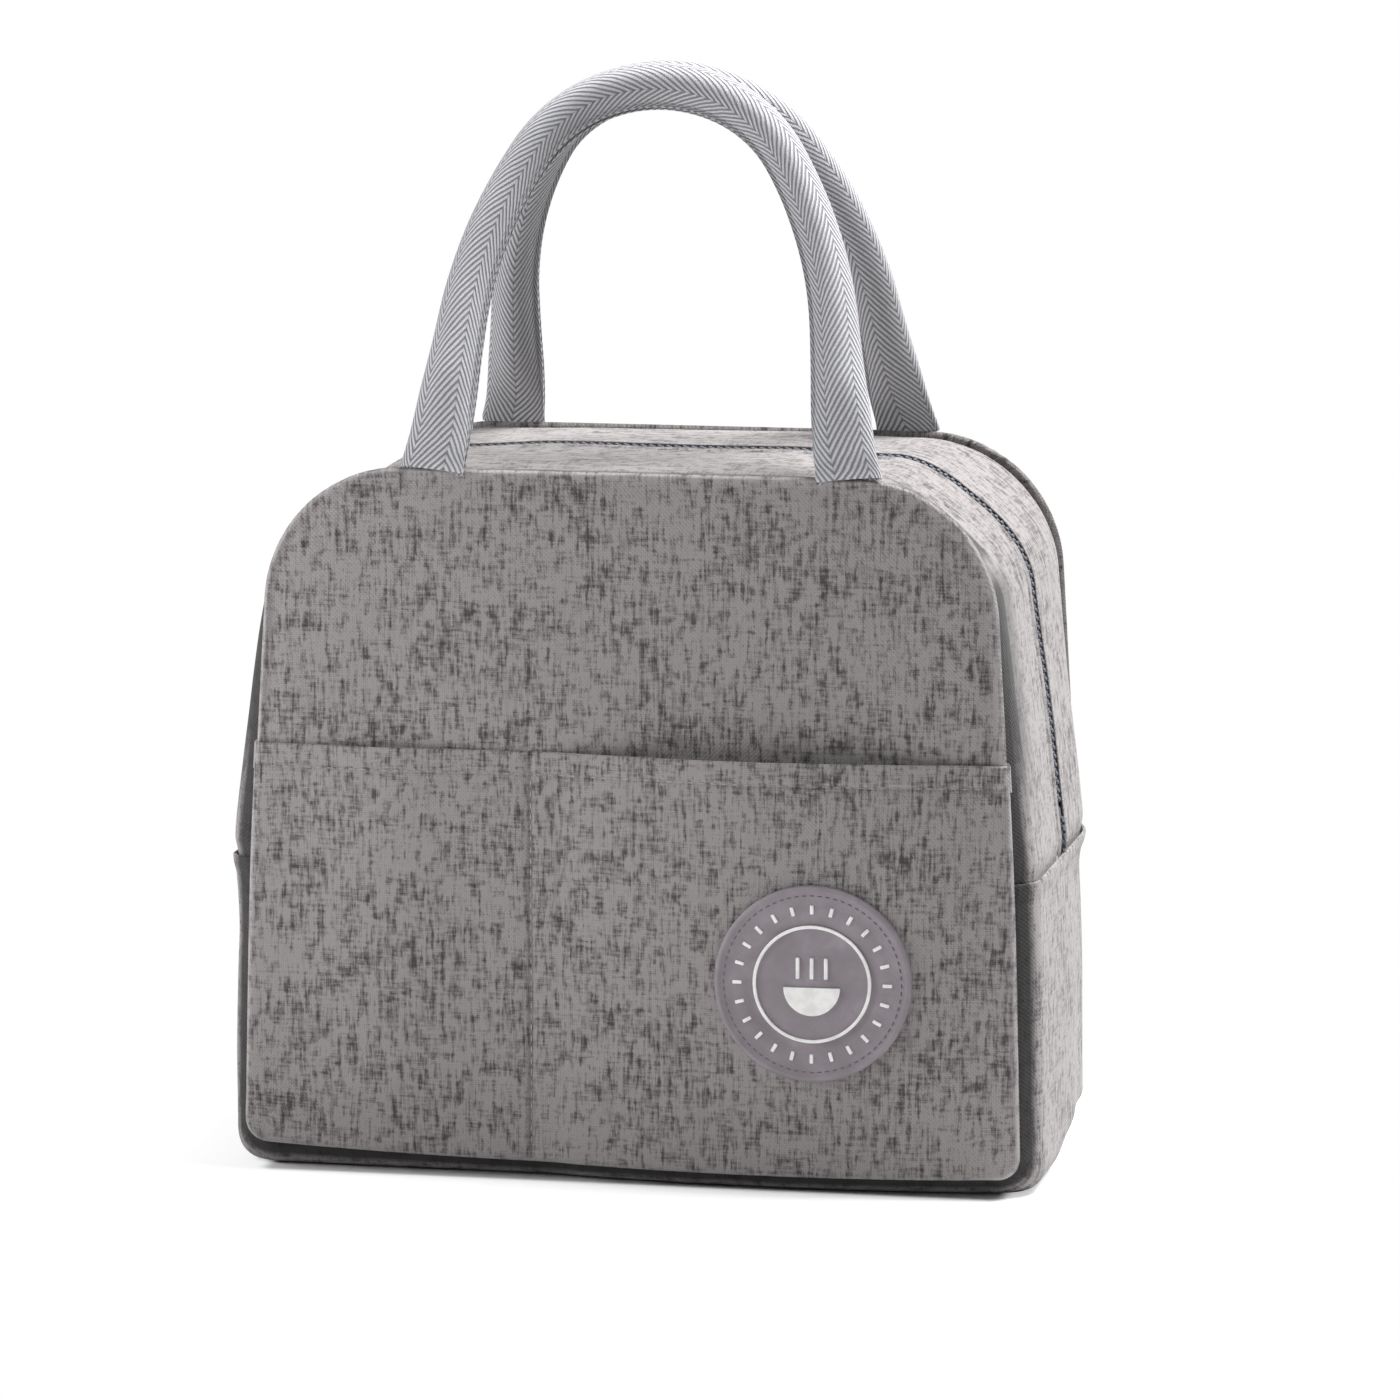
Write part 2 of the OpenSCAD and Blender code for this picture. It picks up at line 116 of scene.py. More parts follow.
class NodeKit:
    """Short calls for building the node tree of a material or a group."""

    def __init__(self, tree: bpy.types.NodeTree) -> None:
        """Keeps the tree.

        Args:
            tree: node tree that the nodes are added to.
        """
        self.tree = tree

    def link(self, output: bpy.types.NodeSocket, entry: bpy.types.NodeSocket) -> None:
        """Joins an output to an input."""
        self.tree.links.new(output, entry)

    def feed(self, entry: bpy.types.NodeSocket, value: object) -> None:
        """Sets an input to a value, or links it if the value is a socket.

        Args:
            entry: input socket.
            value: number, colour, vector or output socket.
        """
        if isinstance(value, bpy.types.NodeSocket):
            self.link(value, entry)
        else:
            entry.default_value = value

    def node(self, kind: str, inputs: dict | None = None, **props: object) -> bpy.types.Node:
        """Adds a node.

        Args:
            kind: type name, such as "ShaderNodeMath".
            inputs: values or sockets by input name or index.
            props: properties of the node itself.

        Returns:
            The new node.
        """
        made = self.tree.nodes.new(kind)
        for name, value in props.items():
            setattr(made, name, value)
        for name, value in (inputs or {}).items():
            self.feed(made.inputs[name], value)
        return made

    def math(self, operation: str, a: object, b: object = 0.0, clamp: bool = False) -> bpy.types.NodeSocket:
        """Adds a Math node and returns its value.

        Args:
            operation: Blender's name of the operation.
            a: first number or socket.
            b: second number or socket.
            clamp: whether the result is kept between 0 and 1.

        Returns:
            The node's output socket.
        """
        made = self.node("ShaderNodeMath", {0: a, 1: b}, operation=operation, use_clamp=clamp)
        return made.outputs[0]

    def scaled(self, vector: object, scale: tuple[float, float, float]) -> bpy.types.NodeSocket:
        """Multiplies a vector by a scale for each axis and returns it."""
        made = self.node("ShaderNodeVectorMath", {0: vector, 1: scale}, operation="MULTIPLY")
        return made.outputs[0]

    def noise(
        self, vector: object, scale: float, detail: float = 2.0, roughness: float = 0.5
    ) -> bpy.types.NodeSocket:
        """Adds a Noise Texture and returns its value."""
        inputs = {"Vector": vector, "Scale": scale, "Detail": detail, "Roughness": roughness}
        return self.node("ShaderNodeTexNoise", inputs).outputs[0]

    def ramp(
        self, value: object, low: float, high: float, to_low: float = 0.0, to_high: float = 1.0
    ) -> bpy.types.NodeSocket:
        """Maps low..high to to_low..to_high, smoothly and clamped."""
        inputs = {0: value, 1: low, 2: high, 3: to_low, 4: to_high}
        return self.node("ShaderNodeMapRange", inputs, interpolation_type="SMOOTHSTEP").outputs[0]

    def mix(self, factor: object, a: object, b: object, blend: str = "MIX") -> bpy.types.NodeSocket:
        """Mixes two colours.

        Args:
            factor: share of the second colour.
            a: first colour.
            b: second colour.
            blend: Blender's name of the blend.

        Returns:
            The mixed colour's socket.
        """
        made = self.node("ShaderNodeMix", data_type="RGBA", blend_type=blend)
        for entry, value in ((made.inputs[0], factor), (made.inputs[6], a), (made.inputs[7], b)):
            self.feed(entry, value)
        return made.outputs[2]

    def combine(self, x: object, y: object, z: object = 0.0) -> bpy.types.NodeSocket:
        """Makes a vector of three numbers."""
        return self.node("ShaderNodeCombineXYZ", {0: x, 1: y, 2: z}).outputs[0]

    def separate(self, vector: object) -> tuple[bpy.types.NodeSocket, ...]:
        """Splits a vector into its three numbers."""
        return tuple(self.node("ShaderNodeSeparateXYZ", {0: vector}).outputs)


def srgb(red: float, green: float, blue: float) -> tuple[float, float, float, float]:
    """Turns a display colour of 0 to 255 into a linear one.

    Args:
        red: red of 0 to 255.
        green: green of 0 to 255.
        blue: blue of 0 to 255.

    Returns:
        Linear colour with an alpha of 1.
    """
    def linear(value: float) -> float:
        """Linear value of one display value."""
        share = value / 255
        return share / 12.92 if share <= 0.04045 else ((share + 0.055) / 1.055) ** 2.4

    return linear(red), linear(green), linear(blue), 1.0


def new_group(
    name: str, inputs: Sequence[tuple[str, str, object]], outputs: Sequence[tuple[str, str]]
) -> tuple[bpy.types.NodeTree, NodeKit, dict, dict]:
    """Starts a shader node group with named inputs and outputs.

    Args:
        name: name of the group.
        inputs: name, socket type and default value of each input.
        outputs: name and socket type of each output.

    Returns:
        The group, its kit, its input sockets and its output sockets by name.
    """
    group = bpy.data.node_groups.new(name, "ShaderNodeTree")
    for label, kind, default in inputs:
        socket = group.interface.new_socket(name=label, in_out="INPUT", socket_type=kind)
        if default is not None:
            socket.default_value = default
    for label, kind in outputs:
        group.interface.new_socket(name=label, in_out="OUTPUT", socket_type=kind)
    kit = NodeKit(group)
    entry = group.nodes.new("NodeGroupInput")
    leave = group.nodes.new("NodeGroupOutput")
    return group, kit, {s.name: s for s in entry.outputs}, {s.name: s for s in leave.inputs}


def melange_group() -> bpy.types.NodeTree:
    """Builds the group for cloth woven from mixed light and dark fibres.

    Returns:
        Group that gives a colour, a height and a mask of wear.
    """
    colour, number = "NodeSocketColor", "NodeSocketFloat"
    group, kit, entry, leave = new_group(
        "melange_weave",
        [
            ("Vector", "NodeSocketVector", None),
            ("Middle", colour, (0.3, 0.3, 0.3, 1)),
            ("Light", colour, (0.5, 0.5, 0.5, 1)),
            ("Dark", colour, (0.1, 0.1, 0.1, 1)),
            ("Thread", number, 0.00055),
            ("Fleck", number, 0.5),
        ],
        [("Color", colour), ("Height", number), ("Fuzz", number)],
    )
    vector, thread = entry["Vector"], entry["Thread"]
    # Streaks of single yarns: long along the warp, shorter along the weft.
    warp = kit.noise(kit.scaled(vector, (820, 90, 1)), 1.0, 3.0, 0.62)
    warp_fine = kit.noise(kit.scaled(vector, (2100, 330, 1)), 1.0, 2.0, 0.6)
    weft = kit.noise(kit.scaled(vector, (190, 1100, 1)), 1.0, 2.0, 0.6)
    blotch = kit.noise(kit.scaled(vector, (330, 230, 1)), 1.0, 2.0, 0.55)
    cloud = kit.noise(vector, 42.0, 3.0, 0.6)
    tone = kit.math("ADD", kit.math("MULTIPLY", warp, 0.36), kit.math("MULTIPLY", warp_fine, 0.16))
    tone = kit.math("ADD", tone, kit.math("MULTIPLY", weft, 0.2))
    tone = kit.math("ADD", tone, kit.math("MULTIPLY", blotch, 0.28))
    tone = kit.math("ADD", tone, kit.math("MULTIPLY", kit.math("SUBTRACT", cloud, 0.5), 0.16))
    dark = kit.ramp(tone, 0.56, 0.38)
    light = kit.ramp(tone, 0.50, 0.66)
    base = kit.mix(dark, entry["Middle"], entry["Dark"])
    base = kit.mix(kit.math("MULTIPLY", light, 0.85), base, entry["Light"])
    # Slubs: few thick pale yarns, seen as flecks along the warp.
    slub = kit.noise(kit.scaled(vector, (760, 46, 1)), 1.0, 1.0, 0.4)
    fleck = kit.math("MULTIPLY", kit.ramp(slub, 0.60, 0.74), entry["Fleck"])
    base = kit.mix(fleck, base, entry["Light"])
    # The weave itself, one over and one under.
    x, y, _ = kit.separate(vector)
    turn = kit.math("DIVIDE", math.pi, thread)
    across = kit.math("SINE", kit.math("MULTIPLY", x, turn))
    along = kit.math("SINE", kit.math("MULTIPLY", y, turn))
    weave = kit.math("MULTIPLY", across, along)
    over = kit.ramp(weave, -0.8, 0.8)
    shade = kit.ramp(kit.math("ABSOLUTE", weave), 0.0, 0.5, 0.84, 1.0)
    tinted = kit.mix(1.0, base, kit.combine(shade, shade, shade), "MULTIPLY")
    height = kit.math("ADD", kit.math("MULTIPLY", over, 0.5), kit.math("MULTIPLY", tone, 0.7))
    height = kit.math("ADD", height, kit.math("MULTIPLY", fleck, 0.35))
    kit.link(tinted, leave["Color"])
    kit.link(height, leave["Height"])
    kit.link(kit.math("MULTIPLY", kit.ramp(cloud, 0.4, 0.75), 0.5), leave["Fuzz"])
    return group


def herringbone_group() -> bpy.types.NodeTree:
    """Builds the group for webbing woven in a herringbone.

    Returns:
        Group that gives a colour and a height.
    """
    colour, number = "NodeSocketColor", "NodeSocketFloat"
    group, kit, entry, leave = new_group(
        "herringbone_weave",
        [
            ("Vector", "NodeSocketVector", None),
            ("Rib", colour, (0.4, 0.4, 0.4, 1)),
            ("Groove", colour, (0.1, 0.1, 0.1, 1)),
            ("Column", number, 0.0075),
            ("Pitch", number, 0.0026),
            ("Slope", number, 1.9),
        ],
        [("Color", colour), ("Height", number)],
    )
    x, y, _ = kit.separate(entry["Vector"])
    column = entry["Column"]
    fold = kit.math("PINGPONG", kit.math("ADD", x, 0.5), column)
    drift = kit.math("MULTIPLY", fold, entry["Slope"])
    wobble = kit.math("MULTIPLY", kit.noise(entry["Vector"], 260.0, 2.0), 0.0009)
    run = kit.math("ADD", kit.math("ADD", y, drift), wobble)
    wave = kit.math("SINE", kit.math("MULTIPLY", kit.math("DIVIDE", run, entry["Pitch"]), 2 * math.pi))
    rib = kit.ramp(wave, -0.75, 0.35)
    # Each rib is itself of short threads across it.
    thread = kit.math("SINE", kit.math("MULTIPLY", kit.math("SUBTRACT", y, drift), 2 * math.pi / 0.0011))
    fine = kit.ramp(thread, -1.0, 1.0, 0.86, 1.0)
    fibre = kit.noise(kit.scaled(entry["Vector"], (900, 2600, 1)), 1.0, 3.0, 0.65)
    edge = kit.ramp(kit.math("ABSOLUTE", kit.math("SUBTRACT", fold, kit.math("MULTIPLY", column, 0.5))),
                    0.0034, 0.00375, 1.0, 0.8)
    tone = kit.math("MULTIPLY", kit.math("MULTIPLY", fine, edge), kit.ramp(fibre, 0.25, 0.75, 0.8, 1.08))
    base = kit.mix(rib, entry["Groove"], entry["Rib"])
    kit.link(kit.mix(1.0, base, kit.combine(tone, tone, tone), "MULTIPLY"), leave["Color"])
    height = kit.math("ADD", kit.math("MULTIPLY", rib, 0.8), kit.math("MULTIPLY", fibre, 0.25))
    kit.link(kit.math("MULTIPLY", height, edge), leave["Height"])
    return group


def grain_group() -> bpy.types.NodeTree:
    """Builds the group for the fine grain, scuffs and dust of moulded and metal pieces.

    Returns:
        Group that gives a height, a mask of scuffs and a mottled value.
    """
    number = "NodeSocketFloat"
    group, kit, entry, leave = new_group(
        "fine_grain",
        [("Vector", "NodeSocketVector", None), ("Grain", number, 2500.0), ("Scuff", number, 300.0)],
        [("Height", number), ("Scuffs", number), ("Mottle", number)],
    )
    grain = kit.node("ShaderNodeTexVoronoi", {"Vector": entry["Vector"], "Scale": entry["Grain"]})
    scratch = kit.noise(kit.scaled(entry["Vector"], (1.0, 0.35, 0.2)), 1.0, 1.0)
    scratch_in = kit.node(
        "ShaderNodeTexNoise", {"Vector": entry["Vector"], "Scale": entry["Scuff"], "Detail": 4.0}
    )
    kit.link(grain.outputs["Distance"], leave["Height"])
    scuffs = kit.ramp(kit.math("MULTIPLY", scratch_in.outputs[0], kit.math("ADD", scratch, 0.5)), 0.55, 0.75)
    kit.link(scuffs, leave["Scuffs"])
    kit.link(kit.ramp(scratch_in.outputs[0], 0.3, 0.7, 0.9, 1.1), leave["Mottle"])
    return group


# ------------------------------------------------------------------ finishes


class Groups:
    """The node groups that the finishes share, each built once."""

    def __init__(self) -> None:
        """Builds the groups."""
        self.melange = melange_group()
        self.herringbone = herringbone_group()
        self.grain = grain_group()


@dataclass(frozen=True)
class Finish:
    """What every finish states: its name and its shader's plain values."""

    name: str
    roughness: float = 0.8
    metallic: float = 0.0
    sheen: float = 0.0
    sheen_roughness: float = 0.5
    specular: float = 0.5

    def start(self) -> tuple[bpy.types.Material, NodeKit, bpy.types.Node]:
        """Makes the material with its Principled shader.

        Returns:
            The material, its kit and the shader node.
        """
        made = bpy.data.materials.new(self.name)
        made.use_nodes = True
        kit = NodeKit(made.node_tree)
        shader = made.node_tree.nodes["Principled BSDF"]
        values = {
            "Roughness": self.roughness,
            "Metallic": self.metallic,
            "Sheen Weight": self.sheen,
            "Sheen Roughness": self.sheen_roughness,
            "Specular IOR Level": self.specular,
        }
        for name, value in values.items():
            shader.inputs[name].default_value = value
        return made, kit, shader

    def bump(
        self, kit: NodeKit, shader: bpy.types.Node, height: object, depth: float, strength: float = 1.0
    ) -> None:
        """Joins a height to the shader's normal.

        Args:
            kit: kit of the material.
            shader: the Principled node.
            height: height socket, 0 to 1.
            depth: how deep a height of 1 is, in metres.
            strength: strength of the bump.
        """
        node = kit.node("ShaderNodeBump", {"Height": height, "Distance": depth, "Strength": strength})
        kit.link(node.outputs[0], shader.inputs["Normal"])


@dataclass(frozen=True)
class MelangeCloth(Finish):
    """Woven cloth of mixed fibres, on the piece's own UV map, with painted shade in its seams and a painted
    highlight along their ridges.
    """

    middle: tuple = srgb(148, 144, 143)
    light: tuple = srgb(136, 131, 133)
    dark: tuple = srgb(66, 61, 63)
    # The groove colour is the painted shade in the seams; the pale colour below it is the painted highlight
    # along their ridges.
    groove: tuple = srgb(30, 28, 30)
    worn: tuple = srgb(182, 178, 180)
    thread: float = 0.62 * MM
    fleck: float = 0.6
    depth: float = 0.2 * MM

    def build(self, groups: Groups) -> bpy.types.Material:
        """Builds the material.

        Args:
            groups: shared node groups.

        Returns:
            The material.
        """
        made, kit, shader = self.start()
        place = kit.node("ShaderNodeUVMap", uv_map="UVMap").outputs[0]
        weave = kit.node("ShaderNodeGroup", node_tree=groups.melange)
        values = {
            "Vector": place, "Middle": self.middle, "Light": self.light, "Dark": self.dark,
            "Thread": self.thread, "Fleck": self.fleck,
        }
        for name, value in values.items():
            kit.feed(weave.inputs[name], value)
        # The crease attribute is positive down in a seam, where painted shade darkens the cloth towards the
        # groove colour, and negative along its ridge, where a painted highlight makes it paler.
        crease = kit.node("ShaderNodeAttribute", attribute_name=CREASE).outputs["Fac"]
        deep = kit.math("MULTIPLY", kit.math("MAXIMUM", crease, 0.0), 0.92, clamp=True)
        painted_highlight = kit.math(
            "MULTIPLY", kit.math("MAXIMUM", kit.math("MULTIPLY", crease, -1.0), 0.0), 0.45, clamp=True
        )
        colour = kit.mix(painted_highlight, kit.mix(deep, weave.outputs["Color"], self.groove), self.worn)
        kit.link(colour, shader.inputs["Base Color"])
        rough = kit.math("ADD", kit.math("MULTIPLY", weave.outputs["Fuzz"], 0.2), self.roughness)
        kit.link(rough, shader.inputs["Roughness"])
        self.bump(kit, shader, weave.outputs["Height"], self.depth, 0.75)
        return made


@dataclass(frozen=True)
class HerringboneWebbing(Finish):
    """Herringbone webbing, on the piece's own UV map."""

    rib: tuple = srgb(187, 187, 191)
    groove: tuple = srgb(121, 121, 126)
    depth: float = 0.45 * MM

    def build(self, groups: Groups) -> bpy.types.Material:
        """Builds the material.

        Args:
            groups: shared node groups.

        Returns:
            The material.
        """
        made, kit, shader = self.start()
        place = kit.node("ShaderNodeUVMap", uv_map="UVMap").outputs[0]
        weave = kit.node("ShaderNodeGroup", node_tree=groups.herringbone)
        for name, value in {"Vector": place, "Rib": self.rib, "Groove": self.groove}.items():
            kit.feed(weave.inputs[name], value)
        kit.link(weave.outputs["Color"], shader.inputs["Base Color"])
        self.bump(kit, shader, weave.outputs["Height"], self.depth, 0.8)
        return made


@dataclass(frozen=True)
class RibbedTape(Finish):
    """Zip tape: fine ribs along the tape, on the piece's own UV map."""

    ground: tuple = srgb(66, 66, 70)
    rib: tuple = srgb(92, 92, 97)

    def build(self, groups: Groups) -> bpy.types.Material:
        """Builds the material.

        Args:
            groups: shared node groups.

        Returns:
            The material.
        """
        made, kit, shader = self.start()
        place = kit.node("ShaderNodeUVMap", uv_map="UVMap").outputs[0]
        x, y, _ = kit.separate(place)
        rib = kit.ramp(kit.math("SINE", kit.math("MULTIPLY", y, 2 * math.pi / 0.0009)), -0.6, 0.8)
        knit = kit.ramp(kit.math("SINE", kit.math("MULTIPLY", x, 2 * math.pi / 0.0007)), -0.8, 0.8)
        height = kit.math("MULTIPLY", rib, knit)
        fibre = kit.noise(place, 1800.0, 2.0)
        share = kit.math("MULTIPLY", height, kit.ramp(fibre, 0.3, 0.7, 0.6, 1.0))
        kit.link(kit.mix(share, self.ground, self.rib), shader.inputs["Base Color"])
        self.bump(kit, shader, height, 0.15 * MM)
        return made


@dataclass(frozen=True)
class Moulded(Finish):
    """Moulded rubber or nylon, or painted metal, with a fine grain and light scuffs."""

    colour: tuple = srgb(120, 112, 118)
    worn: tuple = srgb(150, 144, 148)
    grain: float = 2600.0
    grain_depth: float = 0.03 * MM
    scuff: float = 260.0

    def build(self, groups: Groups) -> bpy.types.Material:
        """Builds the material.

        Args:
            groups: shared node groups.

        Returns:
            The material.
        """
        made, kit, shader = self.start()
        place = kit.node("ShaderNodeTexCoord").outputs["Object"]
        grain = kit.node("ShaderNodeGroup", node_tree=groups.grain)
        for name, value in {"Vector": place, "Grain": self.grain, "Scuff": self.scuff}.items():
            kit.feed(grain.inputs[name], value)
        mottle = grain.outputs["Mottle"]
        base = kit.mix(1.0, self.colour, kit.combine(mottle, mottle, mottle), "MULTIPLY")
        share = kit.math("MULTIPLY", grain.outputs["Scuffs"], 0.5)
        kit.link(kit.mix(share, base, self.worn), shader.inputs["Base Color"])
        rough = kit.math("ADD", kit.math("MULTIPLY", grain.outputs["Scuffs"], 0.15), self.roughness)
        kit.link(rough, shader.inputs["Roughness"])
        self.bump(kit, shader, grain.outputs["Height"], self.grain_depth)
        return made


@dataclass(frozen=True)
class Foil(Finish):
    """Aluminised lining: bright, crinkled, with a quilting of small dents."""

    colour: tuple = srgb(205, 207, 210)
    dull: tuple = srgb(170, 173, 178)

    def build(self, groups: Groups) -> bpy.types.Material:
        """Builds the material.

        Args:
            groups: shared node groups.

        Returns:
            The material.
        """
        made, kit, shader = self.start()
        place = kit.node("ShaderNodeTexCoord").outputs["Object"]
        crease = kit.node(
            "ShaderNodeTexVoronoi", {"Vector": place, "Scale": 85.0}, feature="DISTANCE_TO_EDGE"
        )
        fine = kit.noise(place, 420.0, 4.0, 0.6)
        soft = kit.noise(place, 55.0, 3.0, 0.5)
        height = kit.math("ADD", kit.ramp(crease.outputs[0], 0.0, 0.25), kit.math("MULTIPLY", fine, 0.3))
        height = kit.math("ADD", height, kit.math("MULTIPLY", soft, 1.4))
        kit.link(kit.mix(kit.ramp(fine, 0.4, 0.7), self.colour, self.dull), shader.inputs["Base Color"])
        kit.link(
            kit.ramp(fine, 0.3, 0.7, self.roughness - 0.06, self.roughness + 0.12),
            shader.inputs["Roughness"],
        )
        self.bump(kit, shader, height, 0.7 * MM, 0.7)
        return made


@dataclass(frozen=True)
class ClosedCellFoam(Finish):
    """White foam sheet with small closed cells."""

    colour: tuple = srgb(236, 236, 233)
    shade: tuple = srgb(205, 205, 200)

    def build(self, groups: Groups) -> bpy.types.Material:
        """Builds the material.

        Args:
            groups: shared node groups.

        Returns:
            The material.
        """
        made, kit, shader = self.start()
        place = kit.node("ShaderNodeTexCoord").outputs["Object"]
        cell = kit.node("ShaderNodeTexVoronoi", {"Vector": place, "Scale": 900.0}).outputs["Distance"]
        kit.link(kit.mix(kit.ramp(cell, 0.2, 0.7), self.colour, self.shade), shader.inputs["Base Color"])
        self.bump(kit, shader, cell, 0.25 * MM)
        return made


class Finishes:
    """Every material of the bag, built once."""

    def __init__(self) -> None:
        """Builds the materials."""
        groups = Groups()
        self.cloth = MelangeCloth("melange_cloth", roughness=0.82, sheen=0.12, specular=0.25).build(groups)
        self.webbing = HerringboneWebbing(
            "herringbone_webbing", roughness=0.7, sheen=0.15, specular=0.3
        ).build(groups)
        self.tape = RibbedTape("zip_tape", roughness=0.85, specular=0.25).build(groups)
        self.teeth = Moulded(
            "nylon_teeth", roughness=0.6, colour=srgb(64, 67, 76), worn=srgb(72, 75, 84), grain=1500.0
        ).build(groups)
        self.slider = Moulded(
            "gunmetal", roughness=0.34, metallic=1.0, colour=srgb(128, 128, 132), worn=srgb(176, 176, 178),
            grain=900.0, grain_depth=0.01 * MM,
        ).build(groups)
        self.rubber = Moulded(
            "soft_rubber", roughness=0.62, colour=srgb(128, 121, 127), worn=srgb(150, 144, 149),
            grain=1900.0, grain_depth=0.05 * MM, scuff=120.0,
        ).build(groups)
        self.dark_rubber = Moulded(
            "dark_rubber", roughness=0.6, colour=srgb(92, 86, 92), worn=srgb(118, 112, 118), grain=1900.0
        ).build(groups)
        self.print = Moulded(
            "white_print", roughness=0.6, colour=srgb(226, 225, 224), worn=srgb(200, 198, 198),
            grain=3000.0, grain_depth=0.02 * MM,
        ).build(groups)
        self.thread = Moulded(
            "sewing_thread", roughness=0.75, colour=srgb(150, 148, 148),
            worn=srgb(178, 176, 176), grain=5000.0
        ).build(groups)
        self.foil = Foil("foil_lining", roughness=0.3, metallic=0.85).build(groups)
        self.foam = ClosedCellFoam("closed_cell_foam", roughness=0.85, specular=0.3).build(groups)


# ------------------------------------------------------------------ form of the bag


def smooth(value: Array) -> Array:
    """Smooth step of a value that is kept between 0 and 1."""
    share = np.clip(value, 0.0, 1.0)
    return share * share * (3 - 2 * share)


def spaced(stops: Sequence[float], steps: Sequence[int]) -> Array:
    """Coordinates from the first stop to the last, each span cut into its own steps.

    Args:
        stops: places where the spacing changes.
        steps: number of steps between each two stops.

    Returns:
        Rising coordinates.
    """
    parts = [np.linspace(a, b, n, endpoint=False) for a, b, n in zip(stops[:-1], stops[1:], steps)]
    return np.concatenate([*parts, [stops[-1]]])


def ripple(points: Array, scale: float, shift: float = 0.0) -> Array:
    """Smooth noise of -1 to 1 at points.

    Args:
        points: one row of three numbers for each point.
        scale: waves in a metre.
        shift: moves the noise, so that two uses differ.

    Returns:
        One value for each point.
    """
    return np.array([noise.noise(Vector(p) * scale + Vector((shift, 3.1 * shift, 0.7))) for p in points])


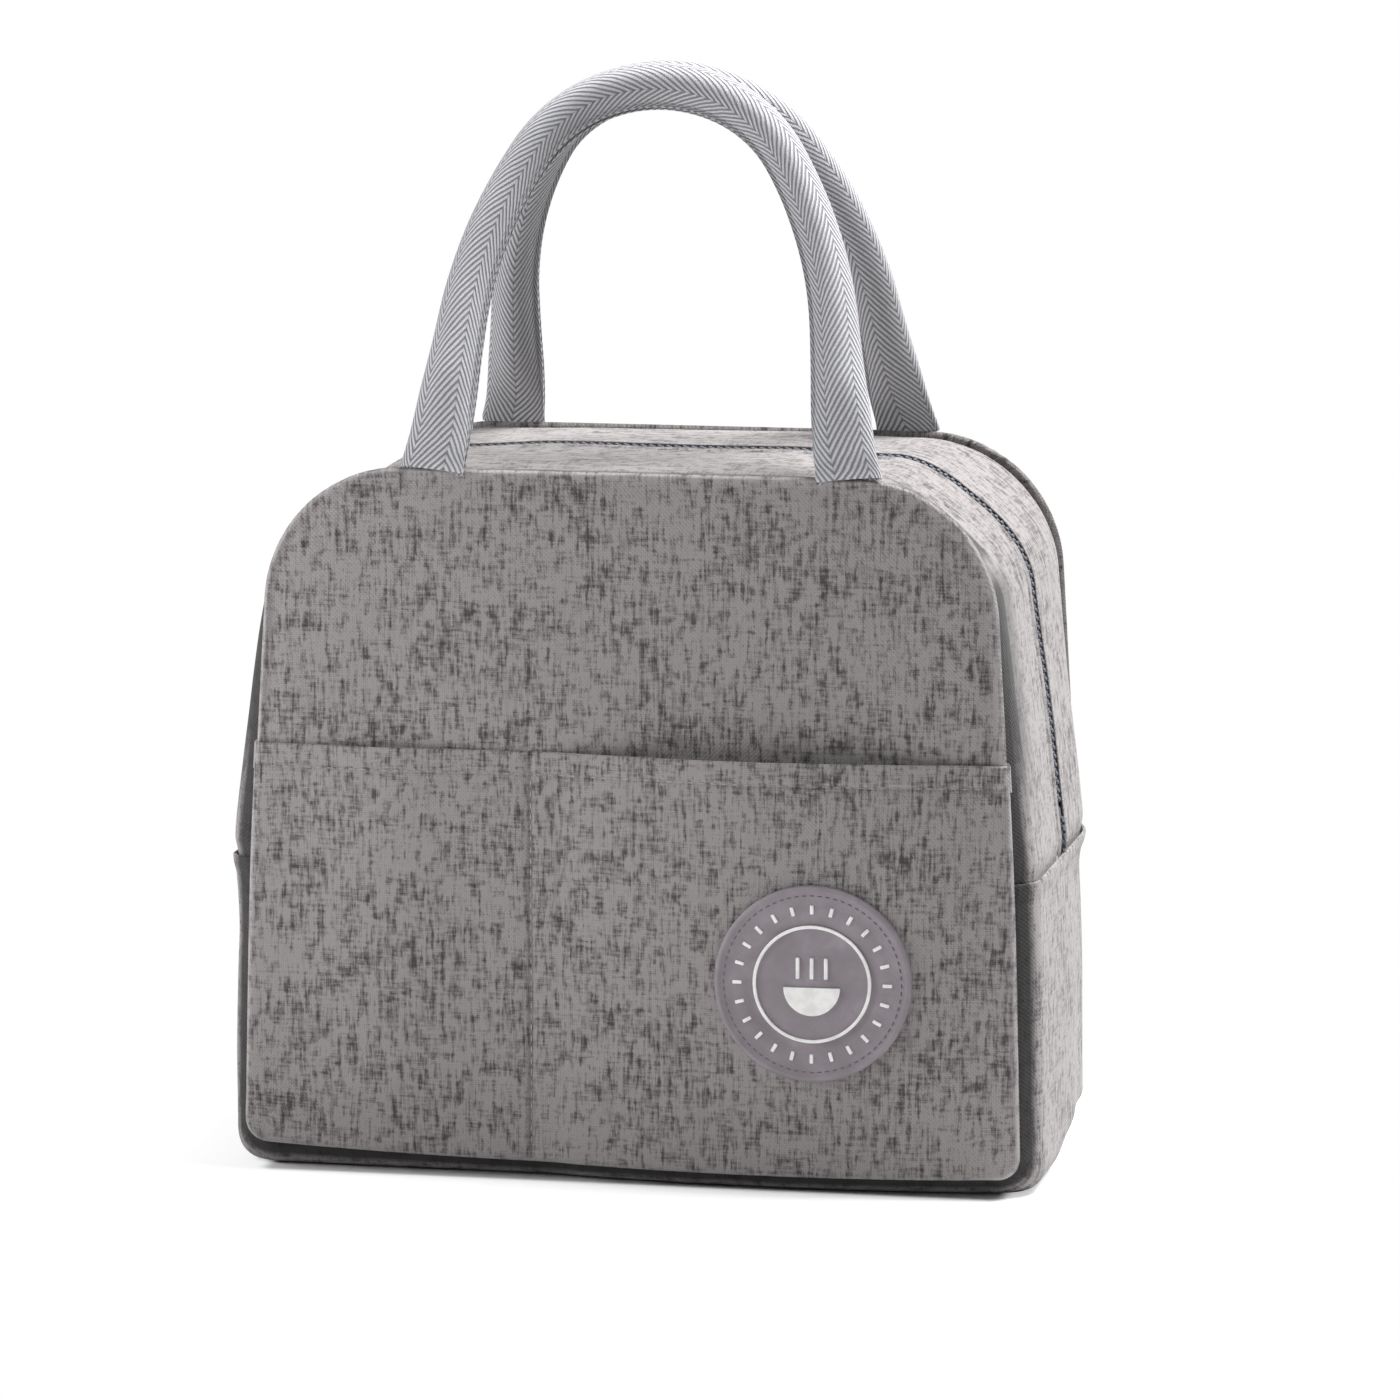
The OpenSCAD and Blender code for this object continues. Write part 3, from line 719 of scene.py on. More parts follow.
@dataclass(frozen=True)
class BagForm:
    """Sizes and lines of the bag's body, the same as the solids have."""

    base_w: float = 0.223
    body_h: float = 0.203
    body_d: float = 0.116
    lean: float = math.radians(3.5)
    low_lean: float = math.radians(1.3)
    top_r: float = 0.040
    bottom_r: float = 0.0052
    swell: float = 0.0065
    corner_swell: float = 0.001
    corner_sink: float = 0.0025
    top_swell: float = 0.0015
    flat_half: float = 0.034
    base_flat_half: float = 0.046
    front_flat_half: float = 0.047
    rear_base_half: float = 0.030
    left_fullness: float = 0.003
    right_slack: float = 0.0023
    front_corner: float = 0.25
    rear_corner: float = -0.7
    ease: float = 0.0004
    smile_rise: float = 0.001
    smile_x: float = 0.030
    foam_t: float = 0.004
    fold_z: float = 0.090
    bend_start: float = 0.0915
    bend_end: float = 0.165

    @property
    def seam_y(self) -> float:
        """Distance of the seam planes from the middle."""
        return self.body_d / 2

    @property
    def low_reach(self) -> float:
        """Distance of a side's seam line from the origin, below the fold line."""
        return self.base_w / 2 * math.cos(self.low_lean) + self.swell * math.sin(self.low_lean)

    @property
    def high_reach(self) -> float:
        """Distance of a side's seam line from the origin, above the fold line."""
        fold_x = self.low_x(self.fold_z)
        return fold_x * math.cos(self.lean) + self.fold_z * math.sin(self.lean)

    def low_x(self, z: Array, inset: float = 0.0) -> Array:
        """Half-width of the seam's outline on the straight side below the fold line."""
        return (self.low_reach - inset - z * math.sin(self.low_lean)) / math.cos(self.low_lean)

    def high_x(self, z: Array, inset: float = 0.0) -> Array:
        """Half-width of the seam's outline on the straight side above the fold line."""
        return (self.high_reach - inset - z * math.sin(self.lean)) / math.cos(self.lean)

    def eased(self, z: Array) -> Array:
        """How far the sides are drawn in to ease one straight line into the other."""
        apart = (math.tan(self.lean) - math.tan(self.low_lean)) / 2 * (z - self.fold_z)
        return np.hypot(apart, self.ease) - np.abs(apart)

    def smile(self, x: Array, z: Array) -> Array:
        """How far the bottom seam climbs towards its ends, fading out up the wall."""
        away = np.abs(x - self.smile_x) / 0.1
        return self.smile_rise * away**3 * (1 - smooth((z - self.swell) / 0.03))

    @property
    def top_c(self) -> tuple[float, float]:
        """Centre of the round corner at the top right."""
        z = self.body_h - self.top_r
        return float(self.high_x(z, self.top_r)), z

    @property
    def bottom_c(self) -> tuple[float, float]:
        """Centre of the round corner at the bottom right."""
        z = self.swell + self.bottom_r
        return float(self.low_x(z, self.bottom_r)), z

    def half_width(self, z: Array, grow: float) -> Array:
        """Half-width of the seam's outline, grown all round, at each height.

        Args:
            z: heights.
            grow: how far the outline is grown.

        Returns:
            Half-width at each height.
        """
        (tx, tz), (bx, bz) = self.top_c, self.bottom_c
        top_r, low_r = self.top_r + grow, self.bottom_r + grow
        width = np.minimum(self.low_x(z, -grow), self.high_x(z, -grow))
        high = tx + np.sqrt(np.maximum(top_r**2 - (z - tz) ** 2, 0.0))
        low = bx + np.sqrt(np.maximum(low_r**2 - (z - bz) ** 2, 0.0))
        width = np.where(z > tz + top_r * math.sin(self.lean), high, width)
        return np.where(z < bz + low_r * math.sin(self.low_lean), low, width) - self.eased(z)

    def edge(self, x: Array, z: Array, grow: float) -> tuple[Array, Array, Array]:
        """Distance inwards from the grown outline, and the outward direction there.

        Args:
            x: places across.
            z: heights.
            grow: how far the outline is grown.

        Returns:
            Distance, outward x and outward z at each point.
        """
        (tx, tz), (bx, bz) = self.top_c, self.bottom_c
        right = np.abs(x) + self.eased(z)
        away, out_x, out_z = self.body_h + grow - z, np.zeros_like(z), np.ones_like(z)
        for reach, tilt in (
            (self.low_reach, self.low_lean), (self.high_reach, self.lean), (-self.swell, -math.pi / 2)
        ):
            sin, cos = math.sin(tilt), math.cos(tilt)
            other = reach + grow - (right * cos + z * sin)
            nearer = other < away
            away, out_x, out_z = np.where(
                nearer, (other, out_x * 0 + cos, out_z * 0 + sin), (away, out_x, out_z)
            )
        for cx, cz, r, tilt, turn in (
            (tx, tz, self.top_r, self.lean, 1), (bx, bz, self.bottom_r, self.low_lean, -1)
        ):
            dx, dz = right - cx, z - cz
            inside = (dx > 0) & ((dz * math.cos(tilt) - dx * math.sin(tilt)) * turn > 0)
            length = np.maximum(np.hypot(dx, dz), 1e-9)
            away = np.where(inside, r + grow - length, away)
            out_x = np.where(inside, dx / length, out_x)
            out_z = np.where(inside, dz / length, out_z)
        return away, out_x * np.sign(x + 1e-12), out_z

    # The seam's own line, by the distance along it from the middle of the top, or from
    # the middle of the underside.

    @property
    def top_spans(self) -> tuple[float, float, float]:
        """Lengths of the flat top, of the corner and of the side down to the fold."""
        corner = self.top_r * (math.pi / 2 - self.lean)
        rise = self.top_c[1] + self.top_r * math.sin(self.lean) - self.fold_z
        return self.top_c[0], corner, rise / math.cos(self.lean)

    @property
    def base_spans(self) -> tuple[float, float, float]:
        """Lengths of the underside, of the corner and of the side up to the fold."""
        corner = self.bottom_r * (math.pi / 2 + self.low_lean)
        rise = self.fold_z - self.bottom_c[1] - self.bottom_r * math.sin(self.low_lean)
        return self.bottom_c[0], corner, rise / math.cos(self.low_lean)

    def over_top(self, q: Array) -> tuple[Array, Array, Array, Array]:
        """Seam line over the top: x, z, outward angle and swell at distance q.

        Args:
            q: distance from the middle of the top, positive to the right.

        Returns:
            Right-hand x, z, outward angle and swell for each distance.
        """
        flat, corner, side = self.top_spans
        tx, tz = self.top_c
        away = np.abs(q)
        turn = math.pi / 2 - np.clip((away - flat) / self.top_r, 0, math.pi / 2 - self.lean)
        down = np.maximum(away - flat - corner, 0.0)
        z = np.where(away < flat, self.body_h, tz + self.top_r * np.sin(turn) - down * math.cos(self.lean))
        x = np.where(away < flat, away, tx + self.top_r * np.cos(turn) + down * math.sin(self.lean))
        arc = (turn - self.lean) / (math.pi / 2 - self.lean)
        sink = np.where(
            arc < 0.55,
            self.corner_swell - (self.corner_swell + self.corner_sink) * smooth(arc / 0.55),
            -self.corner_sink * (1 - smooth((arc - 0.55) / 0.45)),
        )
        swell = np.where(down > 0, self.corner_swell + (self.swell - self.corner_swell) * down / side, sink)
        swell = np.where(away < flat, self.top_swell * smooth((flat - away) / (flat / 2)), swell)
        angle = turn * smooth((side - down) / 0.014)
        return (x - self.eased(z)) * np.sign(q + 1e-12), z, angle, swell

    def under_base(self, q: Array) -> tuple[Array, Array, Array, Array]:
        """Seam line round the base: x, z, outward angle and swell at distance q.

        Args:
            q: distance from the middle of the underside, positive to the right.

        Returns:
            x, z, outward angle and swell for each distance.
        """
        flat, corner, side = self.base_spans
        bx, bz = self.bottom_c
        away = np.abs(q)
        turn = -math.pi / 2 + np.clip((away - flat) / self.bottom_r, 0, math.pi / 2 + self.low_lean)
        up = np.maximum(away - flat - corner, 0.0)
        z = np.where(
            away < flat, self.swell, bz + self.bottom_r * np.sin(turn) + up * math.cos(self.low_lean)
        )
        x = np.where(away < flat, away, bx + self.bottom_r * np.cos(turn) - up * math.sin(self.low_lean))
        swell = self.swell + 0.0005 * np.sin(math.pi * up / side)
        level = smooth((side - up) / 0.014)
        angle = np.where(up > 0, turn * level, turn)
        return (x - self.eased(z)) * np.sign(q + 1e-12), z, angle, swell

    def lopsided(self, x: Array, y: Array, z: Array, angle: Array) -> Array:
        """How much fuller a side is than its even swell.

        The left side is fuller towards the front, over the pocket's mouth. The right
        side is slacker towards the rear, under the zip. The lower corners are square
        at the front and well rounded at the rear.

        Args:
            x: places along the width.
            y: depths.
            z: heights.
            angle: outward angles.

        Returns:
            Lengths to add, below zero where the side is slacker.
        """
        left = smooth((-x - 0.09) / 0.01) * smooth((-y - 0.014) / 0.02)
        left = left * smooth((z - 0.065) / 0.035) * (1 - smooth((z - 0.15) / 0.05))
        right = smooth((x - 0.08) / 0.01) * smooth((y - 0.002) / 0.03) * (1 - smooth((z - 0.078) / 0.014))
        turned = np.sin(np.clip(-2 * np.asarray(angle), 0, math.pi)) ** 2
        corner = self.front_corner + (self.rear_corner - self.front_corner) * smooth((y + 0.02) / 0.05)
        return self.left_fullness * left - self.right_slack * right + self.swell * corner * turned

    def share(self, y: Array, angle: Array = 0.0) -> Array:
        """Share of the swell that a section has at each depth.

        The bag's own weight flattens its underside, and rolls its seams over more
        steeply there. The sides are fuller towards the front.

        Args:
            y: depths.
            angle: the section's outward angle.

        Returns:
            Share of 0 to 1.
        """
        under = np.clip(-np.asarray(angle) / (math.pi / 2), 0, 1)
        full = np.where(y < 0, np.cos(angle) ** 2 * (1 - under), 0.0)
        base = np.where(y < 0, self.base_flat_half, self.rear_base_half)
        flat = self.flat_half + (base - self.flat_half) * under
        flat = flat + (self.front_flat_half - self.flat_half) * full
        far = np.maximum(np.abs(y) - flat, 0) / (self.seam_y - flat)
        return 1 - far ** (2 + 1.6 * under)


FORM = BagForm()


@dataclass(frozen=True)
class SeamTone:
    """Places, reaches and strengths of the painted shade in and beside the gusset's seams, and of the painted
    shadow by the ground, in metres and shares.
    """

    line: float = 0.0045
    line_fade: float = 0.0022
    under_line: float = 0.0027
    under_fade: float = 0.0012
    gape_low: float = 0.178
    gape_high: float = 0.198
    gape_fade: float = 0.006
    gape_x: float = 0.05
    gape_x_fade: float = 0.02
    gape_reach: float = 0.0135
    gape_reach_fade: float = 0.004
    gape_depth: float = 0.9
    shade_low: float = 0.095
    shade_rise: float = 0.04
    shade_high: float = 0.172
    shade_fall: float = 0.01
    core_reach: float = 0.0095
    core_fade: float = 0.003
    shade_reach: float = 0.012
    shade_fade: float = 0.018
    shade_depth: float = 0.62
    rear_depth: float = 0.2
    # The ground settings place a painted contact shadow on the underside, by the floor.
    ground_share: float = 0.91
    ground_fade: float = 0.08
    ground_turn: float = 1.2
    ground_turn_fade: float = 0.3
    ground_depth: float = 0.95


PAINTED_SHADE = SeamTone()
Bend = tuple[tuple[float, float, float], tuple[float, float, float]]
SIDE_BEND: Bend = ((0.0, 0.0, FORM.bend_start), (0.0, 0.0, FORM.bend_end))


# ------------------------------------------------------------------ mesh helpers


def grid_mesh(
    columns: Array, rows: Array, place: Callable[[Array, Array], Placement], flip: bool,
    crease: Callable[[Array, Array], Array] | None = None,
) -> bmesh.types.BMesh:
    """Warps a flat grid onto a form.

    Args:
        columns: first coordinate of each column of points.
        rows: second coordinate of each row of points.
        place: gives the points and their UVs for arrays of both coordinates.
        flip: whether the faces are turned over.
        crease: gives how deep in a seam each point is, which sets the cloth's painted shade and painted
            highlight, if the piece is sewn.

    Returns:
        The mesh, with a UV map in metres.
    """
    mesh = bmesh.new()
    layer = mesh.loops.layers.uv.new("UVMap")
    across, up = len(columns) - 1, len(rows) - 1
    bmesh.ops.create_grid(mesh, x_segments=across, y_segments=up, size=1.0)
    mesh.verts.index_update()
    flat = np.array([v.co[:2] for v in mesh.verts])
    steps = np.rint((flat + 1) / 2 * (across, up)).astype(int)
    points, uvs = place(columns[steps[:, 0]], rows[steps[:, 1]])
    for vert, point in zip(mesh.verts, points.tolist()):
        vert.co = point
    if crease:
        depths = mesh.verts.layers.float.new(CREASE)
        for vert, depth in zip(mesh.verts, crease(columns[steps[:, 0]], rows[steps[:, 1]]).tolist()):
            vert[depths] = depth
    uvs = uvs.tolist()
    for face in mesh.faces:
        for loop in face.loops:
            loop[layer].uv = uvs[loop.vert.index]
    if flip:
        bmesh.ops.reverse_faces(mesh, faces=mesh.faces[:])
    mesh.normal_update()
    return mesh


def as_piece(
    name: str, mesh: bmesh.types.BMesh, material: bpy.types.Material, sharp: float = 50.0
) -> bpy.types.Object:
    """Makes an object of a mesh, smooth but for its sharp edges.

    Args:
        name: name of the piece.
        mesh: mesh, which is freed.
        material: material of the piece.
        sharp: angle in degrees past which an edge is sharp.

    Returns:
        The object, linked to the scene.
    """
    data = bpy.data.meshes.new(name)
    mesh.to_mesh(data)
    mesh.free()
    for face in data.polygons:
        face.use_smooth = True
    data.set_sharp_from_angle(angle=math.radians(sharp))
    data.materials.append(material)
    made = bpy.data.objects.new(name, data)
    bpy.context.scene.collection.objects.link(made)
    return made


def thicken(mesh: bmesh.types.BMesh, thickness: float) -> bmesh.types.BMesh:
    """Gives a sheet its thickness, on the side that its faces turn away from."""
    bmesh.ops.solidify(mesh, geom=mesh.faces[:], thickness=thickness)
    mesh.normal_update()
    return mesh


def slopes(place: Callable[[Array, Array], Placement], a: Array, b: Array) -> tuple[Array, Array, Array]:
    """Points of a form, with the directions of both its coordinates.

    Args:
        place: gives the points for arrays of both coordinates.
        a: first coordinates.
        b: second coordinates.

    Returns:
        Points, unit vectors along the first coordinate and along the second.
    """
    step = 0.0002

    def unit(vectors: Array) -> Array:
        """Vectors with a length of 1."""
        return vectors / np.maximum(np.linalg.norm(vectors, axis=1, keepdims=True), 1e-12)

    points = place(a, b)[0]
    along = unit(place(a + step, b)[0] - place(a - step, b)[0])
    across = unit(place(a, b + step)[0] - place(a, b - step)[0])
    return points, along, across


def sew(
    name: str, points: Array, run: Array, side: Array, length: float, width: float,
    material: bpy.types.Material, sunk: float = 0.3,
) -> bpy.types.Object:
    """Lays a row of stitches.

    Args:
        name: name of the piece.
        points: middle of each stitch, on the cloth.
        run: unit vectors along the seam.
        side: unit vectors across it, in the cloth.
        length: length of a stitch.
        width: width of the thread.
        material: material of the thread.
        sunk: how far a stitch sinks into the cloth, as a share of its width.

    Returns:
        The stitches as one piece.
    """
    mesh = bmesh.new()
    mesh.loops.layers.uv.new("UVMap")
    out = np.cross(run, side)
    out /= np.maximum(np.linalg.norm(out, axis=1, keepdims=True), 1e-12)
    for point, along, lift in zip(points, run, out):
        frame_of = np.eye(4)
        frame_of[:3, 0] = along * length / 2
        frame_of[:3, 1] = np.cross(lift, along) * width / 2
        frame_of[:3, 2] = lift * width / 2
        frame_of[:3, 3] = point + lift * width * (0.5 - sunk)
        bmesh.ops.create_uvsphere(
            mesh, u_segments=6, v_segments=4, radius=1.0, matrix=Matrix(frame_of.tolist())
        )
    bmesh.ops.recalc_face_normals(mesh, faces=mesh.faces[:])
    return as_piece(name, mesh, material, 80.0)


@dataclass
class Tally:
    """Keeps the pieces that have been made and says what carries each."""

    rows: list[str] = field(default_factory=list)

    def add(
        self, piece: bpy.types.Object, slot: Slot, bodies: Sequence[Body], nodes: Sequence[str] = (),
        bend: Bend = SIDE_BEND,
    ) -> bpy.types.Object:
        """Puts a piece on its body, or bakes its placement into its mesh when it has two, hides the CAD nodes
        that it stands for and notes its name.

        Args:
            piece: the finished piece.
            slot: the record's material slot; not used.
            bodies: one body that carries it, or the lower and the upper one.
            nodes: CAD nodes that it stands for.
            bend: where it starts and ends to turn from the first body to the second; not used.

        Returns:
            The piece.
        """
        if nodes:
            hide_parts(*nodes)
        if len(bodies) == 1:
            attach(piece, bodies[0].value)
        else:
            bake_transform(piece)
        self.rows.append(piece.name)
        LOG.info(
            "%s: %d faces on %s",
            piece.name, len(piece.data.polygons), " and ".join(b.value for b in bodies),
        )
        return piece


# ------------------------------------------------------------------ front and rear walls


def seam_crease(away: Array) -> Array:
    """Painted shade under a rolled edge and a painted highlight along its ridge, by the distance from the
    edge.
    """
    return 1 - smooth(away / 0.0007) - 0.75 * np.exp(-(((away - 0.0015) / 0.0006) ** 2))


@dataclass
class WallCloth:
    """Cloth, foam and lining of one big wall, each in one piece over the fold line."""

    wall: Wall
    ridge: float = 0.0008
    tuck: float = 0.0036
    roll: float = 0.0014
    sheet_t: float = 0.00045
    inset: float = 0.0058

    def rolled(self, x: Array, z: Array, ridge: float, roll: float) -> tuple[Array, Array, Array, Array]:
        """Turns the border of a flat sheet back into the seam.

        Args:
            x: places across, on an outline grown by the ridge and the tuck.
            z: heights.
            ridge: how far the rolled edge stands past the seam.
            roll: radius of the rolled edge.

        Returns:
            New x, new z, how far the cloth has risen from the seam plane and the
            distance from the edge.
        """
        away, out_x, out_z = FORM.edge(x, z, ridge + self.tuck)
        d = away - self.tuck
        turn = np.clip(d / roll, 0, math.pi / 2)
        lag = (math.pi / 2 - 1) * roll
        past = np.maximum(d - roll * math.pi / 2, 0.0)
        inset = np.where(past > 0, roll + past + lag * (1 - np.exp(-past / 0.012)), roll * (1 - np.cos(turn)))
        inset = np.where(d < 0, -d, inset)
        return x + out_x * (d - inset), z + out_z * (d - inset), roll * np.sin(turn), d

    def relief(self, x: Array, z: Array, d: Array) -> Array:
        """Ridge along the seam, puckers beside it and slow waves of a padded wall.

        Args:
            x: places across.
            z: heights.
            d: distance from the edge.

        Returns:
            How far the cloth stands out, at each point.
        """
        points = np.stack([x, np.full_like(x, 0.01 * self.wall.value), z], axis=1)
        slow = ripple(points, 13.0, 4.0) * 0.9 + ripple(points, 30.0, 9.0) * 0.35
        quick = ripple(points, 95.0, 2.0)
        inner = smooth((d - 0.003) / 0.03)
        if self.wall is Wall.FRONT:
            bare = smooth((z - 0.112) / 0.016)
            slow = slow * bare - 0.35 * (1 - bare)
        bead = (
            0.00035 * np.exp(-(((d - 0.0017) / 0.001) ** 2))
            - 0.0003 * np.exp(-(((d - 0.0042) / 0.0018) ** 2))
        )
        pucker = 0.00032 * quick * np.exp(-np.maximum(d - 0.002, 0) / 0.008) * smooth(d / 0.003)
        return 0.0009 * slow * inner + bead + pucker

    def place_cloth(self, u: Array, z: Array) -> Placement:
        """Points and UVs of the outer cloth; u is -1 to 1 across each row."""
        x = u * FORM.half_width(z, self.ridge + self.tuck)
        new_x, new_z, rise, d = self.rolled(x, z, self.ridge, self.roll)
        y = FORM.seam_y + rise + self.relief(x, z, d) * (d > 0) - 0.0007 * smooth(-d / 0.001)
        if self.wall is Wall.FRONT:
            y = y + Pocket().belly(x, z)
        points = np.stack([new_x, y * self.wall.value, new_z + FORM.smile(new_x, new_z)], axis=1)
        return points, np.stack([x + 0.5, z + 0.5], axis=1)

    def crease(self, u: Array, z: Array) -> Array:
        """How deep in its seam the cloth is, for the painted shade; below zero along the ridge, for the
        painted highlight.
        """
        depth = seam_crease(FORM.edge(u * FORM.half_width(z, self.ridge + self.tuck), z, self.ridge)[0])
        return depth if self.wall is Wall.FRONT else 0.3 * depth

    def lines(self, low: float, high: float) -> tuple[Array, Array]:
        """Columns and rows, closer together near the outline."""
        tuck = self.tuck
        edge_stops = np.array([0.0, tuck, tuck + 0.0036, tuck + 0.0100]) / 0.115
        u = np.concatenate([edge_stops, [0.5]])
        half = spaced(list(-1 + u[:-1]) + [0.0], [3, 10, 4, 38])
        columns = np.concatenate([half, -half[-2::-1]])
        rows = spaced(
            [low, low + tuck, low + tuck + 0.0036, low + 0.018,
             0.164, high - tuck - 0.004, high - tuck, high],
            [3, 9, 8, 48, 20, 14, 9],
        )
        return columns, rows

    def cloth(self, material: bpy.types.Material) -> bpy.types.Object:
        """Builds the outer cloth, from the bottom seam to the top seam.

        Args:
            material: cloth material.

        Returns:
            The piece.
        """
        grow = self.ridge + self.tuck
        columns, rows = self.lines(FORM.swell - grow, FORM.body_h + grow)
        mesh = grid_mesh(columns, rows, self.place_cloth, self.wall is Wall.REAR, self.crease)
        return as_piece(f"{self.wall.label}_cloth", thicken(mesh, self.sheet_t), material)

    def slab(
        self, name: str, outer: float, thickness: float, inset: float, crease: float,
        material: bpy.types.Material,
    ) -> bpy.types.Object:
        """Builds the foam or the lining, inside the gusset's layers.

        Args:
            name: name of the piece.
            outer: distance of its outer face from the seam plane, inwards.
            thickness: its thickness.
            inset: how far it stays inside the seam's outline.
            crease: how high its soft waves are.
            material: its material.

        Returns:
            The piece.
        """
        def place(u: Array, z: Array) -> Placement:
            """Points and UVs of the outer face."""
            x = u * FORM.half_width(z, -inset)
            points = np.stack([x, np.zeros_like(x), z], axis=1)
            wave = crease * (ripple(points, 42.0, 5.0 + outer * 900) + 0.5 * ripple(points, 110.0, 1.5))
            points[:, 1] = self.wall.value * (FORM.seam_y - outer - np.abs(wave))
            return points, np.stack([x + 0.5, z + 0.5], axis=1)

        low, high = FORM.swell + inset, FORM.body_h - inset
        columns = spaced([-1.0, -0.96, 0.96, 1.0], [4, 44, 4])
        rows = spaced([low, low + 0.004, 0.160, high - 0.004, high], [5, 36, 16, 8])
        mesh = grid_mesh(columns, rows, place, self.wall is Wall.REAR)
        return as_piece(name, thicken(mesh, thickness), material)

    def build(self, finishes: Finishes, tally: Tally) -> None:
        """Builds the wall's pieces.

        Args:
            finishes: materials.
            tally: where the pieces are put on their bodies.
        """
        label, bodies = self.wall.label, (Body.BASE, self.wall.top)
        cloth = self.cloth(finishes.cloth)
        tally.add(cloth, Slot.CLOTH, bodies, (f"{label}_panel_lower", f"{label}_panel"))
        foam = self.slab(
            f"{label}_foam_wall", 0.0002, FORM.foam_t - 0.0003, self.inset + 0.0006, 0.0, finishes.foam
        )
        tally.add(foam, Slot.FOAM, bodies, (f"{label}_foam_lower", f"{label}_foam"))
        lining = self.slab(f"{label}_lining", FORM.foam_t, 0.0004, self.inset, 0.00045, finishes.foil)
        tally.add(lining, Slot.FOIL, bodies, (f"{label}_liner_lower", f"{label}_liner"))


# ------------------------------------------------------------------ pocket


